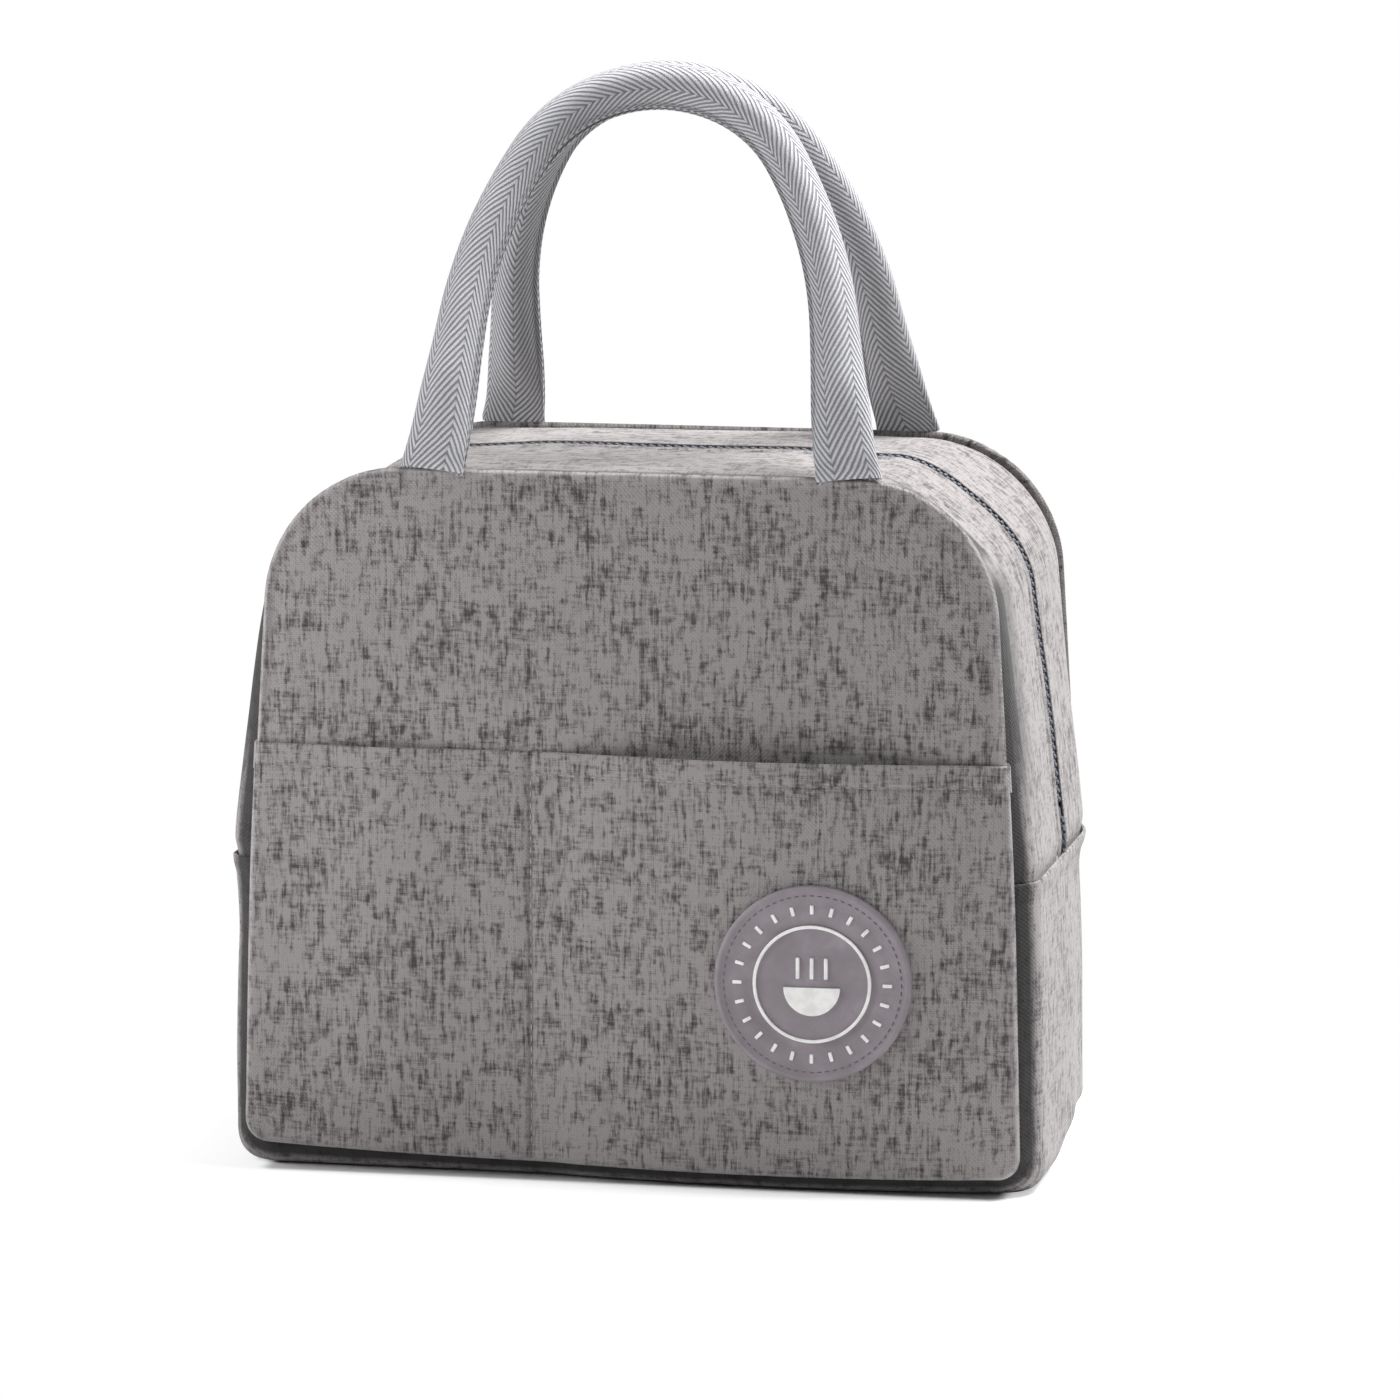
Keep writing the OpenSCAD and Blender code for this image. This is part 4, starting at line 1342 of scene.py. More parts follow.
@dataclass
class Pocket:
    """The two-bay pocket on the front wall, with its hem and its sewn divider."""

    height: float = 0.124
    hem: float = 0.0066
    divider: float = -0.028
    right_swell: float = 0.007
    left_swell: float = 0.0024
    drawn: float = 0.8
    right_bay: tuple[float, float] = (-0.0265, 0.1065)
    left_bay: tuple[float, float] = (-0.1065, -0.0295)
    ridge: float = 0.0013
    roll: float = 0.0019
    sheet_t: float = 0.0004
    fold_r: float = 0.0006
    back: float = 0.007

    def bay_rise(self, x: Array) -> Array:
        """How far the right bay's round front stands out at each place across."""
        low, high = self.right_bay
        half = (high - low) / 2
        radius = (half**2 + self.right_swell**2) / (2 * self.right_swell)
        away = x - (low + high) / 2
        arc = np.sqrt(np.maximum(radius**2 - away**2, 0)) - (radius - self.right_swell)
        near = np.minimum(x - low, high - x)
        return np.maximum(arc, 0) * smooth(near / 0.014 + 0.15) * (near > 0)

    def left_rise(self, x: Array) -> Array:
        """How far the left bay stands out at each place across."""
        low, high = self.left_bay
        share = np.clip((x - low) / (high - low), 0, 1)
        return self.left_swell * np.sin(math.pi * share) ** 2

    def belly(self, x: Array, z: Array) -> Array:
        """How far the full bay draws the bottom seam forward at each place."""
        return self.drawn * self.bay_rise(x) * (1 - smooth((z - 0.010) / 0.045))

    def rise(self, x: Array, z: Array) -> Array:
        """How far the pocket stands out from the flat wall.

        Args:
            x: places across.
            z: heights.

        Returns:
            How far the cloth stands out, at each point.
        """
        toe = smooth((z - 0.0085) / 0.018)
        points = np.stack([x, np.full_like(x, -0.066), z], axis=1)
        slow = ripple(points, 17.0, 3.0) * 0.7 + ripple(points, 42.0, 6.0) * 0.3
        high = smooth((z - 0.092) / 0.032)
        loose = np.minimum(np.abs(x - self.divider) / 0.02, 1) * smooth((0.110 - np.abs(x)) / 0.02)
        loose = loose * smooth((np.hypot(x - Badge.x, z - Badge.z) - Badge.radius) / 0.014)
        wave = slow * (0.0006 + 0.0008 * high) * loose
        pull = 0.0003 * np.exp(-np.abs(x - self.divider) / 0.006) * np.abs(ripple(points, 130.0, 8.0))
        raw = (self.bay_rise(x) + self.left_rise(x) + wave) * toe - 0.001
        return (raw + np.hypot(raw, 0.001)) / 2 - pull

    def place(self, u: Array, v: Array) -> Placement:
        """Points and UVs of the cloth; v runs up the front, over the hem and down."""
        r, top = self.fold_r, self.height - self.fold_r
        turn = np.clip((v - top) / r, 0, math.pi)
        down = np.maximum(v - top - math.pi * r, 0)
        z = np.minimum(v, top) + r * np.sin(turn) - down
        grow = self.ridge + WallCloth(Wall.FRONT).tuck
        x = u * FORM.half_width(z, grow)
        new_x, new_z, rise, d = WallCloth(Wall.FRONT).rolled(x, z, self.ridge, self.roll)
        loose, drawn = self.rise(x, np.minimum(z, top)) * smooth(d / 0.005), self.belly(x, z)
        out = rise + (loose + drawn + np.hypot(loose - drawn, 0.0004)) / 2
        doubled = 0.0005 * smooth((z - (self.height - self.hem)) / 0.0012)
        sewn = 0.0004 * np.exp(-(((z - (self.height - self.hem)) / 0.0007) ** 2))
        line = 0.0006 * np.exp(-(((x - self.divider) / 0.0009) ** 2))
        out = out + (doubled - sewn - line) * smooth((d - 0.001) / 0.002)
        thin = np.clip(0.35 + out / 0.004, 0.35, 1)
        out = out - r * thin * (1 - np.cos(turn))
        points = np.stack([new_x, -(FORM.seam_y + out), new_z + FORM.smile(new_x, new_z)], axis=1)
        return points, np.stack([x + 0.503, v + 0.9], axis=1)

    def cloth(self, material: bpy.types.Material) -> bpy.types.Object:
        """Builds the pocket's cloth.

        Args:
            material: cloth material.

        Returns:
            The piece.
        """
        grow = self.ridge + WallCloth(Wall.FRONT).tuck
        tuck = WallCloth(Wall.FRONT).tuck
        edge = [-1 + step / 0.115 for step in (0.0, tuck, tuck + 0.0038, tuck + 0.012)]
        middle = self.divider / 0.114
        columns = spaced(
            [*edge, middle - 0.012, middle + 0.012, *(-step for step in edge[::-1])],
            [3, 10, 5, 30, 8, 52, 5, 10, 3],
        )
        low, top = FORM.swell - grow, self.height - self.fold_r
        curl = top + math.pi * self.fold_r
        stitched = self.height - self.hem
        rows = spaced(
            [low, low + tuck, low + tuck + 0.0038, 0.026, stitched - 0.002, stitched + 0.002, top, curl,
             curl + self.back],
            [3, 10, 10, 36, 10, 3, 6, 3],
        )
        mesh = grid_mesh(columns, rows, self.place, False, self.crease)
        return as_piece("pocket_cloth", thicken(mesh, self.sheet_t), material, 70.0)

    def crease(self, u: Array, v: Array) -> Array:
        """How deep in its seam the cloth is, round its edge and at the divider, for the painted shade, with a
        painted highlight along the edge's ridge.
        """
        z = np.minimum(v, self.height)
        x = u * FORM.half_width(z, self.ridge + WallCloth(Wall.FRONT).tuck)
        sides = np.where(z > self.height - 0.004, self.height, z)
        edge = seam_crease(FORM.edge(x, np.minimum(sides, 0.1), self.ridge)[0])
        return edge + 0.22 * np.exp(-(((x - self.divider) / 0.0009) ** 2))

    def stitches(self, material: bpy.types.Material) -> dict[str, bpy.types.Object]:
        """Sews the hem and the divider.

        Args:
            material: thread material.

        Returns:
            The rows of stitches by name.
        """
        z = self.height - self.hem
        grow = self.ridge + WallCloth(Wall.FRONT).tuck
        across = np.arange(-0.102, 0.1025, 0.0032)
        width = FORM.half_width(np.full_like(across, z), grow)
        points, run, side = slopes(self.place, across / width, np.full_like(across, z))
        hem = sew("pocket_hem_stitches", points, run, side, 0.0023, 0.00042, material)
        up = np.arange(0.0125, z - 0.002, 0.0032)
        width = FORM.half_width(up, grow)
        points, side, run = slopes(self.place, self.divider / width, up)
        divider = sew("pocket_divider_stitches", points, run, -side, 0.0023, 0.00045, material)
        return {"hem": hem, "divider": divider}

    def build(self, finishes: Finishes, tally: Tally) -> None:
        """Builds the pocket's pieces.

        Args:
            finishes: materials.
            tally: where the pieces are put on their bodies.
        """
        bodies = (Body.BASE, Body.FRONT_TOP)
        cloth = self.cloth(finishes.cloth)
        tally.add(cloth, Slot.CLOTH, bodies, ("pocket", "pocket_mouth"))
        stitches = self.stitches(finishes.thread)
        for piece in stitches.values():
            tally.add(piece, Slot.CLOTH, bodies)


# ------------------------------------------------------------------ gusset, strips and zip


@dataclass
class Gusset:
    """The belt round the base: cloth, foam and lining, up to the fold line."""

    seam_roll: float = 0.0012
    groove: float = 0.0016
    high_groove: float = 0.0012
    trimmed: float = 0.0090
    sheet_t: float = 0.00045
    fold_r: float = 0.0005

    def seam_dip(self, y: Array, x: Array, z: Array) -> Array:
        """How far the cloth turns in at its seams, with the uneven dents beside them.

        Args:
            y: places across the gusset.
            x: places along the bag.
            z: heights.

        Returns:
            How far the cloth lies under its smooth form.
        """
        away = np.maximum(FORM.seam_y - np.abs(y), 0.0)
        left = np.clip(self.seam_roll - away, 0, self.seam_roll)
        turned = self.seam_roll - np.sqrt(np.maximum(self.seam_roll**2 - left**2, 0))
        points = np.stack([x, 0.02 * np.sign(y), z], axis=1)
        dent = 0.5 + 0.5 * ripple(points, 26.0, 7.0) + 0.35 * ripple(points, 80.0, 3.0)
        dented = (
            self.groove * np.clip(0.4 + 0.6 * dent, 0, 1.3)
            + self.high_groove * smooth((z - 0.085) / 0.05)
        )
        return turned + dented * np.exp(-away / 0.0035)

    def crease(self, y: Array, line: tuple[Array, Array, Array, Array]) -> Array:
        """How deep in a seam the cloth is, which sets its painted shade.

        The painted dark line is narrow under the bag and wider up its sides. Beside the upper corners the
        front seam's crevice is painted dark, and the gusset below them gets a painted shade.

        Args:
            y: places across the gusset.
            line: x, z, outward angle and swell of the seam's line at each point.

        Returns:
            Depth in the seam, 0 to 1, as the strength of the painted shade.
        """
        x, z, angle, _ = line
        away = FORM.seam_y - np.abs(y)
        tone = PAINTED_SHADE
        under = np.clip(-angle / (math.pi / 2), 0, 1)
        beside = (away - tone.line) / tone.line_fade
        seam = 1 - smooth(beside + ((away - tone.under_line) / tone.under_fade - beside) * under)
        # gape: painted dark in the crevice beside the upper corners; core and shade: painted shade on the
        # gusset below them.
        opened = (
            smooth((z - tone.gape_low) / tone.gape_fade)
            * (1 - smooth((z - tone.gape_high) / tone.gape_fade))
            * smooth((np.abs(x) - tone.gape_x) / tone.gape_x_fade)
        )
        gape = opened * (1 - smooth((away - tone.gape_reach) / tone.gape_reach_fade))
        shaded = (
            smooth((z - tone.shade_low) / tone.shade_rise)
            * (1 - smooth((z - tone.shade_high) / tone.shade_fall))
        )
        core = shaded * (1 - smooth((away - tone.core_reach) / tone.core_fade))
        shade = tone.shade_depth * shaded * (1 - smooth((away - tone.shade_reach) / tone.shade_fade))
        front = np.maximum.reduce([seam, tone.gape_depth * gape, core, shade])
        return np.where(y < 0, front, tone.rear_depth * seam)

    def belt_crease(self, q: Array, y: Array) -> Array:
        """Depth in a seam of the belt's points for the painted shade, and a painted contact shadow where the
        belt nears the ground.
        """
        line = FORM.under_base(q)
        # ground: painted contact shadow on the underside by the floor.
        ground = (
            smooth((FORM.share(y, line[2]) - PAINTED_SHADE.ground_share) / PAINTED_SHADE.ground_fade)
            * smooth((-line[2] - PAINTED_SHADE.ground_turn) / PAINTED_SHADE.ground_turn_fade)
        )
        return np.maximum(self.crease(y, line), PAINTED_SHADE.ground_depth * ground)

    def warp(self, line: tuple[Array, Array, Array, Array], y: Array, depth: Array) -> Array:
        """Points at a depth under the gusset's outer face.

        Args:
            line: x, z, outward angle and swell of the seam's line at each point.
            y: places across the gusset.
            depth: depth at each point.

        Returns:
            The points.
        """
        x, z, angle, swell = line
        points = np.stack([x, y, z], axis=1)
        loose = FORM.share(y, angle)
        wave = 0.0006 * ripple(points, 24.0, 11.0) * loose * (1 - smooth(-angle / 1.2))
        out = (swell + FORM.lopsided(x, y, z, angle)) * loose + wave - depth
        right = np.sign(x + 1e-12)
        return np.stack([x + right * np.cos(angle) * out, y, z + np.sin(angle) * out], axis=1)

    def place_belt(self, q: Array, y: Array) -> Placement:
        """Points and UVs of the belt's cloth; past the fold line it turns under."""
        end = sum(FORM.base_spans)
        over = np.maximum(np.abs(q) - end + self.fold_r, 0)
        turn = np.clip(over / self.fold_r, 0, math.pi)
        down = np.maximum(over - math.pi * self.fold_r, 0)
        inner = np.sign(q) * (np.minimum(np.abs(q), end - self.fold_r) + self.fold_r * np.sin(turn) - down)
        line = FORM.under_base(inner)
        lift = -0.0006 * smooth((np.abs(inner) - end + 0.006) / 0.004)
        depth = lift + self.fold_r * (1 - np.cos(turn)) + self.seam_dip(y, line[0], line[1])
        made = self.warp(line, y, depth)
        made[:, 2] += FORM.smile(line[0], line[1]) * (1 - FORM.share(y, line[2]))
        made[:, 1] -= Pocket().belly(line[0], line[1]) * smooth((-y - 0.020) / 0.038)
        return made, np.stack([y + 1.5, q + 1.5], axis=1)

    def build(self, finishes: Finishes, tally: Tally) -> None:
        """Builds the belt's pieces.

        Args:
            finishes: materials.
            tally: where the pieces are put on their bodies.
        """
        flat, corner, side = FORM.base_spans
        end = flat + corner + side
        curl = end - self.fold_r + math.pi * self.fold_r
        half = spaced(
            [0, flat, flat + corner, end - 0.006, end - self.fold_r, curl, curl + 0.006],
            [40, 14, 34, 7, 6, 3],
        )
        columns = np.concatenate([-half[:0:-1], half])
        y_edge = FORM.seam_y
        rows = spaced(
            [-y_edge, -y_edge + 0.003, -y_edge + 0.012, y_edge - 0.012, y_edge - 0.003, y_edge],
            [8, 7, 34, 7, 8],
        )
        mesh = grid_mesh(columns, rows, self.place_belt, True, self.belt_crease)
        cloth = as_piece("gusset_cloth", thicken(mesh, self.sheet_t), finishes.cloth, 70.0)
        tally.add(cloth, Slot.CLOTH, (Body.BASE,), ("bottom_gusset",))
        foam = self.layer("gusset_foam_belt", 0.0012, FORM.foam_t - 0.0003, 0.0002, finishes.foam)
        tally.add(foam, Slot.FOAM, (Body.BASE,), ("gusset_foam",))
        lining = self.layer("gusset_lining", 0.0051, 0.0004, 0.0012, finishes.foil, 0.0004)
        tally.add(lining, Slot.FOIL, (Body.BASE,), ("gusset_liner",))

    def layer(
        self, name: str, depth: float, thickness: float, short: float,
        material: bpy.types.Material, crease: float = 0.0,
    ) -> bpy.types.Object:
        """Builds the belt's foam or its lining.

        Args:
            name: name of the piece.
            depth: depth of its outer face.
            thickness: its thickness.
            short: how far it stops short of the fold line and the seams.
            material: its material.
            crease: how high its soft waves are.

        Returns:
            The piece.
        """
        end = sum(FORM.base_spans) - short

        def place(q: Array, y: Array) -> Placement:
            """Points and UVs of the outer face."""
            points = np.stack([q, y, np.zeros_like(q)], axis=1)
            wave = crease * np.abs(ripple(points, 45.0, 2.0)) * FORM.share(y)
            return self.warp(FORM.under_base(q), y, depth + wave), np.stack([y, q], axis=1)

        flat, corner, _ = FORM.base_spans
        half = spaced([0, flat, flat + corner, end], [26, 10, 22])
        edge = FORM.seam_y - (self.trimmed if crease == 0 else 0.0002)
        rows = spaced([-edge, edge], [32])
        mesh = grid_mesh(np.concatenate([-half[:0:-1], half]), rows, place, True)
        return as_piece(name, thicken(mesh, thickness), material)


@dataclass
class ZipSide:
    """One strip over the top with its tape, its teeth, its foam and its lining."""

    wall: Wall
    gap: float = 0.0034
    tape_w: float = 0.015
    tape_t: float = 0.0005
    pitch: float = 0.0025
    stub: float = 0.014
    fold_r: float = 0.0005
    sheet_t: float = 0.00042
    back: float = 0.006
    gusset: Gusset = field(default_factory=Gusset)

    @property
    def end(self) -> float:
        """Distance along the seam from the middle of the top to the fold line."""
        return sum(FORM.top_spans)

    def under_belt(self, q: Array) -> Array:
        """How far the strip's sewn end lies under the belt's folded edge."""
        return 0.0011 * smooth((np.abs(q) - self.end + 0.005) / 0.006)

    def line(self, q: Array) -> tuple[Array, Array, Array, Array]:
        """Seam's line over the top, carried on straight down past the fold line."""
        x, z, angle, swell = FORM.over_top(np.clip(q, -self.end, self.end))
        past = np.maximum(np.abs(q) - self.end, 0)
        side = np.sign(q)
        return x + side * past * math.sin(FORM.low_lean), z - past * math.cos(FORM.low_lean), angle, swell

    def place_strip(self, q: Array, w: Array) -> Placement:
        """Points and UVs of the strip's cloth; w runs from the seam to the zip and back under."""
        reach = FORM.seam_y - self.gap
        over = np.maximum(w - reach + self.fold_r, 0)
        turn = np.clip(over / self.fold_r, 0, math.pi)
        under = np.maximum(over - math.pi * self.fold_r, 0)
        across = np.minimum(w, reach - self.fold_r) + self.fold_r * np.sin(turn) - under
        y = (FORM.seam_y - across) * self.wall.value
        line = self.line(q)
        edge_in = np.maximum(reach - across, 0)
        lip = (
            0.0005 * np.exp(-((edge_in / 0.0016) ** 2))
            - 0.00045 * np.exp(-(((edge_in - 0.0032) / 0.0008) ** 2))
        )
        depth = self.under_belt(q) + self.fold_r * (1 - np.cos(turn)) - lip * (under <= 0)
        depth = depth + self.gusset.seam_dip(y, line[0], line[1])
        points = self.gusset.warp(line, y, depth)
        return points, np.stack([w + 2.5 + self.wall.value, q + 2.5], axis=1)

    def crease(self, q: Array, w: Array) -> Array:
        """How deep the strip's cloth is in the seam or under its fold at the zip, for the painted shade
        there.
        """
        reach = FORM.seam_y - self.gap
        # shut: painted shade under the strip's fold at the zip.
        shut = smooth((np.minimum(w, reach) - reach + 0.0009) / 0.0009)
        y = (FORM.seam_y - np.minimum(w, reach)) * self.wall.value
        return np.maximum(self.gusset.crease(y, self.line(q)), 0.8 * shut)

    def columns(self, start: float, finish: float) -> Array:
        """Distances along the seam, closer together round the corners."""
        flat, corner, _ = FORM.top_spans
        half = spaced([0, flat * 0.9, flat + corner, start, finish], [22, 34, 30, 8])
        return np.concatenate([-half[:0:-1], half])

    def strip(self, material: bpy.types.Material) -> bpy.types.Object:
        """Builds the strip's cloth.

        Args:
            material: cloth material.

        Returns:
            The piece.
        """
        reach = FORM.seam_y - self.gap
        curl = reach - self.fold_r + math.pi * self.fold_r
        rows = spaced(
            [0, 0.003, 0.012, reach - 0.006, reach - self.fold_r, curl, curl + self.back],
            [8, 7, 14, 12, 6, 3],
        )
        columns = self.columns(self.end - 0.006, self.end + 0.005)
        mesh = grid_mesh(columns, rows, self.place_strip, self.wall is Wall.REAR, self.crease)
        return as_piece(f"{self.wall.label}_strip", thicken(mesh, self.sheet_t), material, 70.0)

    def layer(
        self, name: str, depth: float, thickness: float, reach: tuple[float, float],
        material: bpy.types.Material, crease: float = 0.0,
    ) -> bpy.types.Object:
        """Builds the strip's foam, its lining or the zip's tape.

        Args:
            name: name of the piece.
            depth: depth of its outer face.
            thickness: its thickness.
            reach: its two edges, as distances from the middle of the zip.
            material: its material.
            crease: how high its soft waves are.

        Returns:
            The piece.
        """
        far, near = reach
        cut_back = near < self.gap

        def place(q: Array, w: Array) -> Placement:
            """Points and UVs of the outer face."""
            shut = smooth((np.abs(q) - self.end + self.stub + 0.001) / 0.0008) if cut_back else 0.0
            edge = near + (self.gap - near) * shut
            y = (far + (edge - far) * w) * self.wall.value
            points = np.stack([q, y, np.zeros_like(q)], axis=1)
            wave = crease * np.abs(ripple(points, 45.0, 6.0)) * FORM.share(y)
            return self.gusset.warp(self.line(q), y, depth + wave), np.stack([y + 4, q], axis=1)

        columns = self.columns(self.end - self.stub - 0.001, self.end - 0.0002)
        rows = spaced([0, 1], [6 if cut_back else 14])
        mesh = grid_mesh(columns, rows, place, self.wall is Wall.REAR)
        return as_piece(name, thicken(mesh, thickness), material)

    def teeth(self, material: bpy.types.Material) -> bpy.types.Object:
        """Builds the row of teeth on the tape's edge.

        Args:
            material: teeth material.

        Returns:
            The piece.
        """
        reach = self.end - self.stub - 0.0015
        shift = self.pitch / 4 * self.wall.value
        places = np.arange(-reach, reach, self.pitch) + self.pitch / 2 + shift
        x, z, angle, swell = self.line(places)
        made = self.gusset.warp(
            (x, z, angle, swell), np.full_like(places, -0.001), np.full_like(places, 0.00035)
        )
        ahead = self.gusset.warp(
            self.line(places + 0.0005), np.full_like(places, -0.001), np.full_like(places, 0.00035)
        )
        mesh = bmesh.new()
        mesh.loops.layers.uv.new("UVMap")
        bar = bmesh.new()
        bmesh.ops.create_cube(bar, size=1.0, matrix=Matrix.Diagonal((0.0022, 0.0013, 0.0014, 1)))
        bmesh.ops.bevel(
            bar, geom=bar.edges[:], offset=0.0003, segments=1, profile=0.5, affect="EDGES", material=-1
        )
        model = bpy.data.meshes.new("tooth_model")
        bar.to_mesh(model)
        bar.free()
        for point, nxt in zip(made, ahead):
            run = Vector(nxt - point).normalized()
            across = Vector((0, 1, 0))
            lift = across.cross(run)
            turn = Matrix((across, run, -lift)).transposed().to_4x4()
            middle = Vector((point[0], 0.00105 * self.wall.value, point[2]))
            count = len(mesh.verts)
            mesh.from_mesh(model)
            mesh.verts.ensure_lookup_table()
            bmesh.ops.transform(mesh, matrix=Matrix.Translation(middle) @ turn, verts=mesh.verts[count:])
        bpy.data.meshes.remove(model)
        bmesh.ops.recalc_face_normals(mesh, faces=mesh.faces[:])
        return as_piece(f"{self.wall.label}_teeth", mesh, material, 60.0)

    def stitches(self, material: bpy.types.Material) -> bpy.types.Object:
        """Sews the strip to the tape, beside the fold.

        Args:
            material: thread material.

        Returns:
            The stitches as one piece.
        """
        q = np.arange(-self.end + 0.002, self.end - 0.001, 0.0031)
        w = np.full_like(q, FORM.seam_y - self.gap - 0.0032)
        points, run, side = slopes(self.place_strip, q, w)
        flip = 1 if self.wall is Wall.FRONT else -1
        return sew(f"{self.wall.label}_zip_stitches", points, run, side * flip, 0.0022, 0.00042, material)

    def build(self, finishes: Finishes, tally: Tally) -> None:
        """Builds the pieces on this side of the zip.

        Args:
            finishes: materials.
            tally: where the pieces are put on their bodies.
        """
        label, bodies = self.wall.label, (Body.BASE, self.wall.top)
        strip = self.strip(finishes.cloth)
        tally.add(strip, Slot.CLOTH, bodies, (f"{label}_zip_strip",))
        sewn = self.stitches(finishes.thread)
        tally.add(sewn, Slot.CLOTH, bodies)
        edges = (FORM.seam_y - 0.0003, self.tape_w + 0.0005)
        trimmed = (FORM.seam_y - self.gusset.trimmed, self.tape_w + 0.0005)
        foam = self.layer(f"{label}_strip_foam_pad", 0.0013, FORM.foam_t - 0.0005, trimmed, finishes.foam)
        tally.add(foam, Slot.FOAM, bodies, (f"{label}_strip_foam",))
        lining = self.layer(f"{label}_strip_lining", 0.0051, 0.0004, edges, finishes.foil, 0.0004)
        tally.add(lining, Slot.FOIL, bodies, (f"{label}_strip_liner",))
        tape = self.layer(f"{label}_tape", 0.0011, self.tape_t, (self.tape_w, 0.0003), finishes.tape)
        tally.add(tape, Slot.TAPE, bodies, (f"{label}_zip_tape",))
        teeth = self.teeth(finishes.teeth)
        tally.add(teeth, Slot.TEETH, bodies, (f"{label}_zip_teeth",))


# ------------------------------------------------------------------ handles


@dataclass
class Handle:
    """One handle: webbing folded round a soft core, with flat sewn feet."""

    wall: Wall
    span: float = 0.117
    rise: float = 0.1175
    lean: float = math.radians(28)
    leg_tilt: float = math.radians(6.5)
    side_tilt: float = math.radians(30)
    crown_r: float = 0.042
    side_r: float = 0.133357
    leg_l: float = 0.0452087
    hinge: tuple[float, float] = (0.0605, 0.2045)
    foot_w: float = 0.0195
    grip_w: float = 0.0098
    crown_w: float = 0.0015
    foot_t: float = 0.0024
    grip_t: float = 0.0106
    narrowing: float = 0.025
    core_start: float = 0.030
    sheet_t: float = 0.0006
    flange: float = 0.0016
    sunk: float = 0.0016
    half_web: float = 0.0203

    @property
    def half(self) -> float:
        """Length of the centreline from a foot to the middle of the crown."""
        side = self.side_r * (self.side_tilt - self.leg_tilt)
        return self.leg_l + side + self.crown_r * (math.pi / 2 - self.side_tilt)

    def centre(self, s: Array) -> tuple[Array, Array, Array, Array]:
        """Centreline in the handle's own plane.

        Args:
            s: distance along it from the right-hand foot.

        Returns:
            x, z, outward angle and distance from the nearer foot, at each point.
        """
        t = np.minimum(s, 2 * self.half - s)
        side = np.where(s < self.half, 1.0, -1.0)
        turn = self.side_tilt - self.leg_tilt
        curve = self.leg_l + self.side_r * turn
        cz = self.rise - self.crown_r
        joint = np.array([math.cos(self.side_tilt), math.sin(self.side_tilt)])
        side_c = np.array([0, cz]) + (self.crown_r - self.side_r) * joint
        side_a = self.leg_tilt + np.clip(t - self.leg_l, 0, None) / self.side_r
        crown_a = self.side_tilt + np.clip(t - curve, 0, None) / self.crown_r
        x = np.select(
            [t < self.leg_l, t < curve],
            [self.span / 2 - t * math.sin(self.leg_tilt), side_c[0] + self.side_r * np.cos(side_a)],
            self.crown_r * np.cos(crown_a),
        )
        z = np.select(
            [t < self.leg_l, t < curve],
            [t * math.cos(self.leg_tilt), side_c[1] + self.side_r * np.sin(side_a)],
            cz + self.crown_r * np.sin(crown_a),
        )
        angle = np.select([t < self.leg_l, t < curve], [np.full_like(t, self.leg_tilt), side_a], crown_a)
        return x * side, z, np.where(side > 0, angle, math.pi - angle), t

    def section(self, t: Array) -> tuple[Array, Array]:
        """Half-width and half-thickness at a distance from the foot."""
        width = self.grip_w + (self.foot_w - self.grip_w) * np.exp(-np.maximum(t, 0) / self.narrowing)
        width = width + self.crown_w * smooth((t - 0.09) / 0.05)
        thick = self.foot_t + (self.grip_t - self.foot_t) * smooth(t / self.core_start)
        return width / 2, thick / 2

    def stand(self, x: Array, y: Array, z: Array, t: Array) -> Array:
        """Puts points of the handle's own plane in their place on the bag.

        Args:
            x: places across.
            y: places out of the handle's plane.
            z: heights in the plane.
            t: distance from the nearer foot.

        Returns:
            The points.
        """
        cos, sin = math.cos(self.lean), math.sin(self.lean)
        depth, height = y * cos + z * sin, -y * sin + z * cos
        tuck = smooth((0.006 - t) / 0.0076)
        depth = depth + 0.0012 * tuck
        at_foot, by_crown = (0.0036, -0.0051) if self.wall is Wall.FRONT else (-0.00065, -0.0011)
        x = x + at_foot + by_crown * np.clip(z / self.rise, 0, 1)
        points = np.stack([x, depth - self.hinge[0], height + self.hinge[1]], axis=1)
        points[:, 1] *= -self.wall.value
        return points

    def place(self, k: Array, s: Array) -> Placement:
        """Points and UVs of the webbing; k goes from one selvage round to the other."""
        x, z, angle, t = self.centre(s)
        half_w, half_t = self.section(np.maximum(t, 0))
        lip = 0.00065
        shut = math.pi - np.arcsin(np.minimum(lip / half_t, 0.9))
        share = np.abs(k) / 0.86
        round_a = np.minimum(share, 1) * shut
        fade = smooth(t / 0.024)
        past = np.clip((np.abs(k) - 0.86) / 0.14, 0, 1) * self.flange * fade
        out = half_w * np.cos(round_a) - past + self.flange / 2 * fade
        side = half_t * np.sin(round_a)
        flat_top = 1 + 0.035 * np.cos(4 * round_a) * fade
        points = np.stack([s, k * 0.02, np.full_like(s, 0.3 * self.wall.value)], axis=1)
        soft = 0.00035 * ripple(points, 60.0, 5.0) * fade
        out, side = out * flat_top, (side * flat_top + soft) * np.sign(k + 1e-12)
        made = self.stand(x + out * np.cos(angle), side, z + out * np.sin(angle), t)
        return made, np.stack([k * self.half_web, s], axis=1)

    def webbing(self, material: bpy.types.Material) -> bpy.types.Object:
        """Builds the folded webbing.

        Args:
            material: webbing material.

        Returns:
            The piece.
        """
        lines = spaced([-1, -0.86, 0.86, 1], [4, 40, 4])
        total = 2 * self.half
        rows = spaced([-self.sunk, 0.03, total - 0.03, total + self.sunk], [20, 120, 20])
        mesh = grid_mesh(lines, rows, self.place, self.wall is Wall.FRONT)
        return as_piece(f"{self.wall.label}_handle", thicken(mesh, self.sheet_t), material, 75.0)

